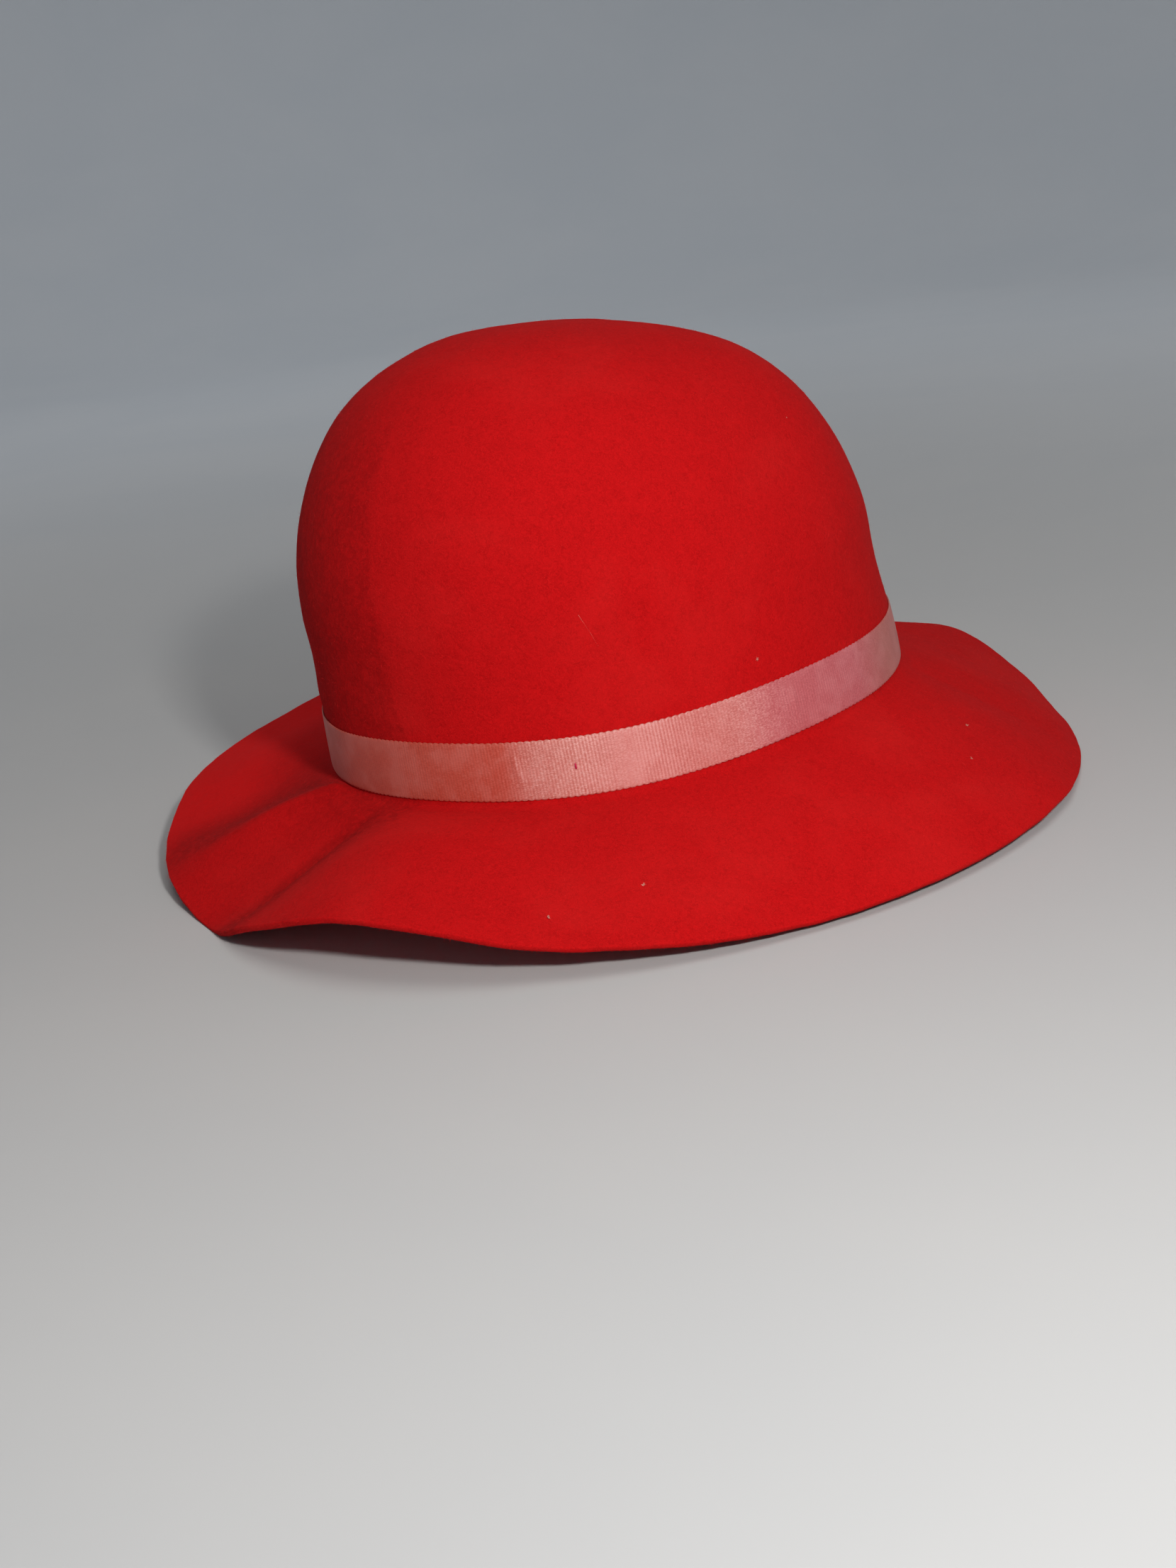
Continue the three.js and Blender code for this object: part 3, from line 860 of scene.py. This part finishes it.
turn = np.linspace(0, np.pi, STITCH_STEPS)
stitch_level = STITCH["level"] - STITCH["height"] / 2 * np.cos(turn)
proud = RIBBON_GAP + RIBBON_THICKNESS + RIB_HEIGHT * STITCH_SUNK + STITCH_ARCH * np.sin(turn)
spine = crown_point(STITCH["azimuth"], stitch_level, proud)
out_there = heading(STITCH["azimuth"])
aside = np.cross(out_there, [0, 0, 1])
thickness = STITCH["radius"] * (STITCH_END + (1 - STITCH_END) * np.sin(turn))[:, None, None]
ring_turn = np.arange(STITCH_SIDES) * 2 * np.pi / STITCH_SIDES
circle = np.cos(ring_turn)[:, None] * aside + np.sin(ring_turn)[:, None] * out_there
stitch_points = spine[:, None] + circle * thickness
stitch_faces = strip_faces(STITCH_STEPS, STITCH_SIDES)
stitch_faces.append(tuple(reversed(range(STITCH_SIDES))))
stitch_faces.append(tuple(range((STITCH_STEPS - 1) * STITCH_SIDES, STITCH_STEPS * STITCH_SIDES)))
tack_stitch = mesh_object("tack_stitch", set_down(stitch_points), stitch_faces)
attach(tack_stitch, "root")
print("tack_stitch:", len(stitch_faces), "faces")

# %% [markdown]
# ## Materials
# Felt, ribbon and thread all need a fibrous grain, each at its own size, so the grain is a shader
# node group, built once and placed in each material with its own values. A group is made of nodes
# and sockets, as a material is, so both can be made with the same helpers. The first ones make a
# group, link its sockets and do sums.

# %% Helpers for groups and sums


def node_group(name, inputs, outputs):
    """A shader group with named sockets. inputs gives each value's default, None for a vector."""
    group = bpy.data.node_groups.new(name, "ShaderNodeTree")
    for socket, default in inputs.items():
        kind = "NodeSocketVector" if default is None else "NodeSocketFloat"
        made = group.interface.new_socket(name=socket, in_out="INPUT", socket_type=kind)
        if default is not None:
            made.default_value = default
    for socket in outputs:
        group.interface.new_socket(name=socket, in_out="OUTPUT", socket_type="NodeSocketFloat")
    return group, group.nodes.new("NodeGroupInput"), group.nodes.new("NodeGroupOutput")


def connect(tree, value, socket):
    """Links another socket to this one, or sets a plain value on it."""
    if isinstance(value, bpy.types.NodeSocket):
        tree.links.new(value, socket)
    else:
        socket.default_value = value


def math_node(tree, operation, first, second):
    """A Math node whose inputs are sockets or plain numbers."""
    node = tree.nodes.new("ShaderNodeMath")
    node.operation = operation
    connect(tree, first, node.inputs[0])
    connect(tree, second, node.inputs[1])
    return node.outputs["Value"]


def add(tree, first, second):
    """The sum of two sockets or numbers."""
    return math_node(tree, "ADD", first, second)


def times(tree, first, second):
    """The product of two sockets or numbers."""
    return math_node(tree, "MULTIPLY", first, second)


helpers = (node_group, connect, math_node, add, times)
print("helpers made:", ", ".join(helper.__name__ for helper in helpers))

# %% [markdown]
# Most effects here start as noise, whose values crowd round a half. A Map Range node spreads the
# part that is wanted from 0 to 1. A Color Ramp could do that too, but its stops can't be sockets.

# %% Helpers for noise and ramps


def noise_node(tree, vector, scale, detail, distortion, roughness):
    """A Noise Texture node, whose values lie mostly between 0.3 and 0.7."""
    node = tree.nodes.new("ShaderNodeTexNoise")
    connect(tree, vector, node.inputs["Vector"])
    connect(tree, scale, node.inputs["Scale"])
    connect(tree, detail, node.inputs["Detail"])
    connect(tree, distortion, node.inputs["Distortion"])
    connect(tree, roughness, node.inputs["Roughness"])
    return node.outputs["Fac"]


def ramp(tree, value, low, high, to_low=0.0, to_high=1.0):
    """A Map Range node with smooth ends."""
    node = tree.nodes.new("ShaderNodeMapRange")
    node.interpolation_type = "SMOOTHSTEP"
    connect(tree, value, node.inputs["Value"])
    connect(tree, low, node.inputs["From Min"])
    connect(tree, high, node.inputs["From Max"])
    connect(tree, to_low, node.inputs["To Min"])
    connect(tree, to_high, node.inputs["To Max"])
    return node.outputs["Result"]


print("helpers made:", noise_node.__name__, "and", ramp.__name__)

# %% [markdown]
# ### Grain of fibres
# Fibres lie across each other in strands, with finer ones between. Two layers of noise give that:
# one of the asked size, and a finer one. A wool fibre curls and a satin thread doesn't, so the
# amount of curl is an input. Grain is a mask with some contrast, for colours. Height is the same
# noise as it is, for a bump.

# %% Group: fibre grain
PER_METRE = 1000.0  # sizes are given in mm, and the coordinates are in metres
STRANDS_SHARE, FINE_SHARE, TIMES_FINER = 0.65, 0.35, 2.7
GRAIN_CONTRAST = (0.34, 0.66)

grain_inputs = {"Vector": None, "Size mm": 1.0, "Curl": 1.0}
grain_group, given, result = node_group("Fibre grain", grain_inputs, ["Grain", "Height"])
where, curl = given.outputs["Vector"], given.outputs["Curl"]
scale = math_node(grain_group, "DIVIDE", PER_METRE, given.outputs["Size mm"])
strands = noise_node(grain_group, where, scale, detail=3.0, distortion=curl, roughness=0.6)
fine_scale = times(grain_group, scale, TIMES_FINER)
fine = noise_node(grain_group, where, fine_scale, detail=2.0, distortion=curl, roughness=0.55)
most = times(grain_group, strands, STRANDS_SHARE)
rest = times(grain_group, fine, FINE_SHARE)
mixed = add(grain_group, most, rest)
grain_group.links.new(ramp(grain_group, mixed, *GRAIN_CONTRAST), result.inputs["Grain"])
grain_group.links.new(mixed, result.inputs["Height"])
print("group made:", grain_group.name, "with", len(grain_group.nodes), "nodes")

# %% [markdown]
# ### Soft patches
# Felt whose nap has been brushed another way, a ribbon that has faded in places and the paper of
# the floor all have large patches with soft edges. One cloudy noise does for all three. The two
# inputs Low and High set how much of it becomes patch and how soft the edges are.

# %% Group: soft patches
patch_inputs = {"Vector": None, "Size mm": 30.0, "Low": 0.45, "High": 0.65}
patch_group, given, result = node_group("Soft patches", patch_inputs, ["Mask"])
scale = math_node(patch_group, "DIVIDE", PER_METRE, given.outputs["Size mm"])
where = given.outputs["Vector"]
cloud = noise_node(patch_group, where, scale, detail=4.0, distortion=0.4, roughness=0.55)
mask = ramp(patch_group, cloud, given.outputs["Low"], given.outputs["High"])
patch_group.links.new(mask, result.inputs["Mask"])
print("group made:", patch_group.name, "with", len(patch_group.nodes), "nodes")

# %% [markdown]
# Every material starts from a Principled BSDF. What is the same all over a finish, such as the
# felt's roughness, is set on the shader's own sockets, and only what changes from place to place
# comes from nodes. All noise is in the object's own coordinates, so nothing has to be unwrapped.

# %% Material helpers


def new_material(name, **values):
    """A material with a Principled BSDF whose own sockets hold the plain values."""
    material = bpy.data.materials.new(name)
    material.use_nodes = True
    shader = material.node_tree.nodes["Principled BSDF"]
    for socket, value in values.items():
        shader.inputs[socket.replace("_", " ")].default_value = value
    place = material.node_tree.nodes.new("ShaderNodeTexCoord").outputs["Object"]
    return material, material.node_tree, shader, place


def place_group(tree, group, vector, **values):
    """A node that holds the group in a material, with that material's own values."""
    node = tree.nodes.new("ShaderNodeGroup")
    node.node_tree = group
    tree.links.new(vector, node.inputs["Vector"])
    for socket, value in values.items():
        node.inputs[socket.replace("_", " ")].default_value = value
    return node


def mix_colours(tree, factor, first, second, blend="MIX"):
    """A Mix node for colours, each of which is a socket or a plain red, green and blue."""
    node = tree.nodes.new("ShaderNodeMix")
    node.data_type, node.blend_type = "RGBA", blend
    connect(tree, factor, node.inputs["Factor"])
    connect(tree, (*first, 1) if isinstance(first, tuple) else first, node.inputs["A"])
    connect(tree, (*second, 1) if isinstance(second, tuple) else second, node.inputs["B"])
    return node.outputs["Result"]


def bump(tree, shader, height, strength, distance_mm):
    """A Bump node that gives the shader its normals."""
    node = tree.nodes.new("ShaderNodeBump")
    node.inputs["Strength"].default_value = strength
    node.inputs["Distance"].default_value = distance_mm * MM
    tree.links.new(height, node.inputs["Height"])
    tree.links.new(node.outputs["Normal"], shader.inputs["Normal"])


helpers = (new_material, place_group, mix_colours, bump)
print("helpers made:", ", ".join(helper.__name__ for helper in helpers))

# %% [markdown]
# ### The felt's finish
# Wool felt is a mat of crossing fibres. Close up it is finely mottled, darker in the hollows of the
# mat and paler where a brushed patch catches the light. A little sheen stands for the nap along the
# outline. Dyed wool of this red gives back almost only red light, so the colours have very little
# green and blue in them.

# %% Felt: grain and mottling
RED_DEEP, RED, RED_PALE = (0.42, 0.003, 0.004), (0.62, 0.006, 0.0075), (0.70, 0.020, 0.018)
MOTTLING, PALING = 0.4, 0.2  # how strongly the mottling and the brushed patches show

felt, tree, shader, place = new_material(
    "red_wool_felt",
    Roughness=0.95,
    Specular_IOR_Level=0.08,
    Sheen_Weight=0.04,
    Sheen_Roughness=0.5,
    Sheen_Tint=(1.0, 0.10, 0.08, 1),
)
fine_grain = place_group(tree, grain_group, place, Size_mm=0.8, Curl=1.4)
mottle = place_group(tree, grain_group, place, Size_mm=4.5, Curl=0.8)
brushed = place_group(tree, patch_group, place, Size_mm=42.0, Low=0.48, High=0.72)
fibres = mix_colours(tree, fine_grain.outputs["Grain"], RED_DEEP, RED)
mottled = mix_colours(tree, times(tree, mottle.outputs["Grain"], MOTTLING), fibres, RED)
pale = times(tree, brushed.outputs["Mask"], PALING)
evenly_worn = mix_colours(tree, pale, mottled, RED_PALE)
print(felt.name, "so far:", len(tree.nodes), "nodes")

# %% [markdown]
# One side of the crown is painted darker, as painted shade broken up in clumps, and that patch ends
# in a clear edge that leans with the crown. It could be painted into an image, but a mask that goes
# round the hat is simpler and stays sharp. A lamp could make a darker side as well, but then the
# edge would move with the lamp.
#
# Angles round the hat are given in turns here: 0 at azimuth -180, and 1 once round, at azimuth 180.

# %% Places round the hat


def round_the_hat(tree, place):
    """A value that goes from 0 at azimuth -180 to 1 at azimuth 180."""
    angle = tree.nodes.new("ShaderNodeTexGradient")
    angle.gradient_type = "RADIAL"
    tree.links.new(place, angle.inputs["Vector"])
    return angle.outputs["Fac"]


def out_from_middle(tree, place):
    """How far each point is from the upright line through the middle of the hat, in metres."""
    level = tree.nodes.new("ShaderNodeVectorMath")
    level.operation = "MULTIPLY"
    tree.links.new(place, level.inputs[0])
    level.inputs[1].default_value = (1, 1, 0)
    length = tree.nodes.new("ShaderNodeVectorMath")
    length.operation = "LENGTH"
    tree.links.new(level.outputs["Vector"], length.inputs[0])
    return length.outputs["Value"]


def between(tree, value, starts, full, fades, ends):
    """1 between two values of the input, falling smoothly to 0 on each side."""
    return times(tree, ramp(tree, value, starts, full), ramp(tree, value, ends, fades))


RAGGED = 0.012  # turns by which the clumps make the masks' edges ragged
EDGE_LEAN = 0.225  # turns for each metre of height

coarse = place_group(tree, grain_group, place, Size_mm=2.6, Curl=1.0)
axes = tree.nodes.new("ShaderNodeSeparateXYZ")
tree.links.new(place, axes.inputs["Vector"])
height = axes.outputs["Z"]
radius = out_from_middle(tree, place)
ragged = add(tree, round_the_hat(tree, place), times(tree, coarse.outputs["Height"], RAGGED))
leaned = add(tree, ragged, times(tree, height, EDGE_LEAN))
print(felt.name, "so far:", len(tree.nodes), "nodes")

# %% [markdown]
# The painted shade is broken up by a coarse grain: its darker red comes in where the mask is strong
# and that grain is low. The mask fades towards the crown's tip and on the inner part of the brim.

# %% Felt: painted shade on one side of the crown
# painted shade: a darker red, on one side of the crown and along two folds of the brim
RED_PAINTED_SHADE = (0.26, 0.002, 0.003)
PAINTED_SHADE_SIDE = (0.13, 0.22, 0.291, 0.2965)  # turns where it starts, is full, fades and ends
CROWN_FULL, CROWN_GONE = 0.108, 0.130  # m from the middle
TIP_FULL, TIP_GONE = 0.118, 0.152  # m above the floor
HOLLOWS_FROM, PAINTED_SHADE_STRENGTH = 1.05, 0.45

# the mask of the painted shade on the crown
painted_shade_side = between(tree, leaned, *PAINTED_SHADE_SIDE)
near_crown = ramp(tree, radius, CROWN_GONE, CROWN_FULL)
below_tip = ramp(tree, height, TIP_GONE, TIP_FULL)
painted_shade = times(tree, painted_shade_side, times(tree, near_crown, below_tip))
minus_clumps = times(tree, coarse.outputs["Grain"], -1.0)
clumped_painted_shade = times(tree, painted_shade, add(tree, minus_clumps, HOLLOWS_FROM))
painted_shade_felt = mix_colours(tree, times(tree, clumped_painted_shade, PAINTED_SHADE_STRENGTH), evenly_worn, RED_PAINTED_SHADE)
print(felt.name, "so far:", len(tree.nodes), "nodes")

# %% [markdown]
# A darker red is painted along two folds of the brim too, as painted shade beside the ridge and in
# the valley. Each fold turns on its way out, so its line is where the angle and a share of the
# radius add up to the same.

# %% Felt: painted shade along the folds of the brim
RIDGE_TURN, VALLEY_TURN = 0.49, 0.27  # turns for each metre of radius
RIDGE_SIDE = (0.222, 0.262, 0.270, 0.276)  # turns where each starts, is full, fades and ends
VALLEY_SIDE = (0.288, 0.294, 0.300, 0.316)
RIDGE_RADII = (0.100, 0.110, 0.148, 0.162)  # m where it starts, is full, fades and ends
VALLEY_STARTS, VALLEY_FULL = 0.100, 0.118  # m
CREASES_FROM, PAINTED_CREASE_SHADE_STRENGTH = 1.3, 0.5

ridge_line = add(tree, ragged, times(tree, radius, RIDGE_TURN))
valley_line = add(tree, ragged, times(tree, radius, VALLEY_TURN))
beside_ridge = between(tree, ridge_line, *RIDGE_SIDE)
beside_ridge = times(tree, beside_ridge, between(tree, radius, *RIDGE_RADII))
in_valley = between(tree, valley_line, *VALLEY_SIDE)
in_valley = times(tree, in_valley, ramp(tree, radius, VALLEY_STARTS, VALLEY_FULL))
folded = math_node(tree, "MAXIMUM", beside_ridge, in_valley)
# painted shade in the folds, broken up by the same coarse grain
painted_crease_shade = times(tree, folded, add(tree, minus_clumps, CREASES_FROM))
painted_crease_shade_felt = mix_colours(tree, times(tree, painted_crease_shade, PAINTED_CREASE_SHADE_STRENGTH), painted_shade_felt, RED_PAINTED_SHADE)
print(felt.name, "so far:", len(tree.nodes), "nodes")

# %% [markdown]
# On the brim beside the darker side of the crown, light is painted in as a brighter red, which is
# one more mask. The bump follows both grains: the fine one for the fibres, and the broad one at
# twice its height for the mottling.

# %% Felt: painted light on the brim, and the bump
# painted light: a brighter red on one side of the brim
RED_PAINTED_LIGHT = (0.80, 0.009, 0.010)
PAINTED_LIGHT_SIDE = (0.02, 0.06, 0.165, 0.19)  # turns where it starts, is full, fades and ends
PAINTED_LIGHT_STARTS, PAINTED_LIGHT_FULL, PAINTED_LIGHT_STRENGTH = 0.108, 0.130, 0.5  # m, m
BROAD_HEIGHT = 2.0

out_on_brim = ramp(tree, radius, PAINTED_LIGHT_STARTS, PAINTED_LIGHT_FULL)
# the mask of the painted light on the brim
painted_light = times(tree, between(tree, leaned, *PAINTED_LIGHT_SIDE), out_on_brim)
felt_with_painted_light = mix_colours(tree, times(tree, painted_light, PAINTED_LIGHT_STRENGTH), painted_crease_shade_felt, RED_PAINTED_LIGHT)
tree.links.new(felt_with_painted_light, shader.inputs["Base Color"])
broad = times(tree, mottle.outputs["Height"], BROAD_HEIGHT)
bump(tree, shader, add(tree, fine_grain.outputs["Height"], broad), strength=0.4, distance_mm=0.5)
felt_hat.data.materials.append(felt)
print(felt.name, "done:", len(tree.nodes), "nodes")

# %% [markdown]
# ### The ribbon's colours
# The ribbon's colour changes round the hat. It is browner on one side, which is painted shade where
# it faces away from the light, and pinker on the other. On the front it is paler, which is a
# painted highlight, with painted glints in short dash-shaped spots. Masks could mix these shades
# one by one.
# A colour ramp that goes round the hat holds them all, the shade in its colour and the glinting in
# its alpha, so that a shade can be moved by changing one azimuth.

# %% Colours and painted light round the ribbon
RIBBON_COLOURS_AND_PAINTED_LIGHT = [  # azimuth, the colour, with painted shade and a painted highlight in it, how much painted glinting
    (-170, (0.60, 0.115, 0.090), 0.1),
    # browner from here to azimuth -62: painted shade, where the ribbon faces away from the light
    (-105, (0.60, 0.060, 0.026), 0.0),
    (-62, (0.60, 0.070, 0.036), 0.1),
    # paler from here to about azimuth -10, glinting more: a painted highlight
    (-57, (0.68, 0.180, 0.145), 0.38),
    (-50, (0.70, 0.185, 0.150), 0.38),
    (-41, (0.70, 0.155, 0.130), 0.2),
    (-24, (0.71, 0.180, 0.160), 0.25),
    (-18, (0.71, 0.190, 0.180), 0.40),
    (-14, (0.66, 0.145, 0.155), 0.36),
    (-10, (0.62, 0.116, 0.136), 0.26),
    (-3, (0.62, 0.120, 0.142), 0.1),
    (15, (0.62, 0.125, 0.150), 0.1),
    (32, (0.54, 0.135, 0.112), 0.1),
    (90, (0.60, 0.125, 0.100), 0.1),
]


def colours_and_painted_light_round_the_hat(tree, place, shades):
    """Colour with painted light, and painted glinting, from a ramp round the hat, azimuth -180 to
    180.
    """
    band = tree.nodes.new("ShaderNodeValToRGB")
    stops = band.color_ramp.elements
    for azimuth, shade, painted_glint in shades:
        stops.new(azimuth / 360 + 0.5).color = (*shade, painted_glint)
    stops.remove(stops[0])
    stops.remove(stops[-1])
    tree.links.new(round_the_hat(tree, place), band.inputs["Fac"])
    return band.outputs["Color"], band.outputs["Alpha"]


satin, tree, shader, place = new_material(
    "pink_grosgrain",
    Roughness=0.46,
    IOR=1.5,
    Specular_IOR_Level=1.0,
    Anisotropic=0.8,
    Anisotropic_Rotation=0.25,
)
colour_and_painted_light, painted_glint = colours_and_painted_light_round_the_hat(tree, place, RIBBON_COLOURS_AND_PAINTED_LIGHT)
print(satin.name, "has", len(RIBBON_COLOURS_AND_PAINTED_LIGHT), "shades round the hat")

# %% [markdown]
# ### The ribbon's threads
# The threads that show are fine and shiny and run along the ribbon, so its shine is drawn out
# across them, like satin. The same grain group does for them: its coordinates are stretched along
# the ribbon, and its curl is nearly nothing. The threads' hollows are darker, faded patches are
# paler, and the highest threads carry the painted glints.

# %% Ribbon: threads, fading and painted glints
STRETCH_ALONG = (0.3, 0.3, 1.0)  # a smaller number makes longer threads
# the last colour here is that of the painted glints
THREAD_HOLLOW, FADED_PINK, PAINTED_GLINT_PINK = (0.82, 0.72, 0.68), (0.80, 0.45, 0.42), (0.90, 0.62, 0.56)
FADED_SHARE, FADED_STRENGTH = 0.16, 0.6
PAINTED_GLINTS = (0.35, 0.95)  # the part of the grain that carries the painted glints
THREAD_ROUGHNESS = (0.42, 0.54)

along_threads = tree.nodes.new("ShaderNodeMapping")
along_threads.inputs["Scale"].default_value = STRETCH_ALONG
tree.links.new(place, along_threads.inputs["Vector"])
threads = place_group(tree, grain_group, along_threads.outputs["Vector"], Size_mm=0.26, Curl=0.1)
grain = threads.outputs["Grain"]
faded = place_group(tree, patch_group, place, Size_mm=7.0, Low=0.38, High=0.68)
hollow = mix_colours(tree, 1.0, colour_and_painted_light, THREAD_HOLLOW, "MULTIPLY")
paler = mix_colours(tree, FADED_SHARE, colour_and_painted_light, FADED_PINK)
threaded = mix_colours(tree, grain, hollow, colour_and_painted_light)
fading = times(tree, faded.outputs["Mask"], FADED_STRENGTH)
faded_threads = mix_colours(tree, fading, threaded, paler)
# painted glints, strongest where the ramp's alpha is high
painted_glint_dashes = times(tree, ramp(tree, grain, *PAINTED_GLINTS), painted_glint)
tree.links.new(mix_colours(tree, painted_glint_dashes, faded_threads, PAINTED_GLINT_PINK), shader.inputs["Base Color"])
tree.links.new(ramp(tree, grain, 0.0, 1.0, *THREAD_ROUGHNESS), shader.inputs["Roughness"])
bump(tree, shader, threads.outputs["Height"], strength=0.5, distance_mm=0.12)
ribbon.data.materials.append(satin)
print(satin.name, "done:", len(tree.nodes), "nodes")

# %% [markdown]
# ### Fibres, lint and thread
# The loose fibres are the felt's own wool, seen against the light, so they are a paler red. Lint is
# undyed wool that has picked up a little red. The stitch is bright magenta cotton. Each takes the
# same grain group, at the scale of a single thread.

# %% Fibre, lint and thread materials
TWIST_CURL = 0.5
RED_LOOSE = (0.78, 0.035, 0.03)
LINT_SHADE, LINT_LIGHT = (0.62, 0.20, 0.15), (0.76, 0.44, 0.36)
MAGENTA_SHADE, MAGENTA_LIGHT = (0.50, 0.008, 0.05), (0.70, 0.03, 0.12)


def thread_material(name, dark, light, size_mm, roughness):
    """Plain twisted thread or fibre whose colour varies a little along it."""
    material, tree, shader, place = new_material(name, Roughness=roughness, Specular_IOR_Level=0.15)
    twist = place_group(tree, grain_group, place, Size_mm=size_mm, Curl=TWIST_CURL)
    shade = mix_colours(tree, twist.outputs["Grain"], dark, light)
    tree.links.new(shade, shader.inputs["Base Color"])
    bump(tree, shader, twist.outputs["Height"], strength=0.3, distance_mm=0.05)
    return material


loose_wool = thread_material("loose_red_wool", RED, RED_LOOSE, size_mm=1.6, roughness=0.9)
loose_fibres.data.materials.append(loose_wool)
undyed = thread_material("undyed_lint", LINT_SHADE, LINT_LIGHT, size_mm=0.8, roughness=0.85)
lint.data.materials.append(undyed)
magenta = thread_material(
    "magenta_thread", MAGENTA_SHADE, MAGENTA_LIGHT, size_mm=0.3, roughness=0.6
)
tack_stitch.data.materials.append(magenta)
print("thread finishes:", loose_wool.name, undyed.name, magenta.name)

# %% [markdown]
# ### The floor
# The floor stands for matt pale paper: it should give the hat a soft shadow and nothing else to
# look at. One flat grey would look dead, so two greys that hardly differ are mixed in large
# patches.

# %% Floor material
PAPER_SHADE, PAPER_LIGHT = (0.555, 0.56, 0.565), (0.575, 0.575, 0.575)

paper, tree, shader, place = new_material("pale_paper", Roughness=0.9, Specular_IOR_Level=0.1)
tooth = place_group(tree, patch_group, place, Size_mm=260.0, Low=0.3, High=0.7)
sheet = mix_colours(tree, tooth.outputs["Mask"], PAPER_SHADE, PAPER_LIGHT)
tree.links.new(sheet, shader.inputs["Base Color"])
floor.data.materials.append(paper)
print(paper.name, "done:", len(tree.nodes), "nodes")
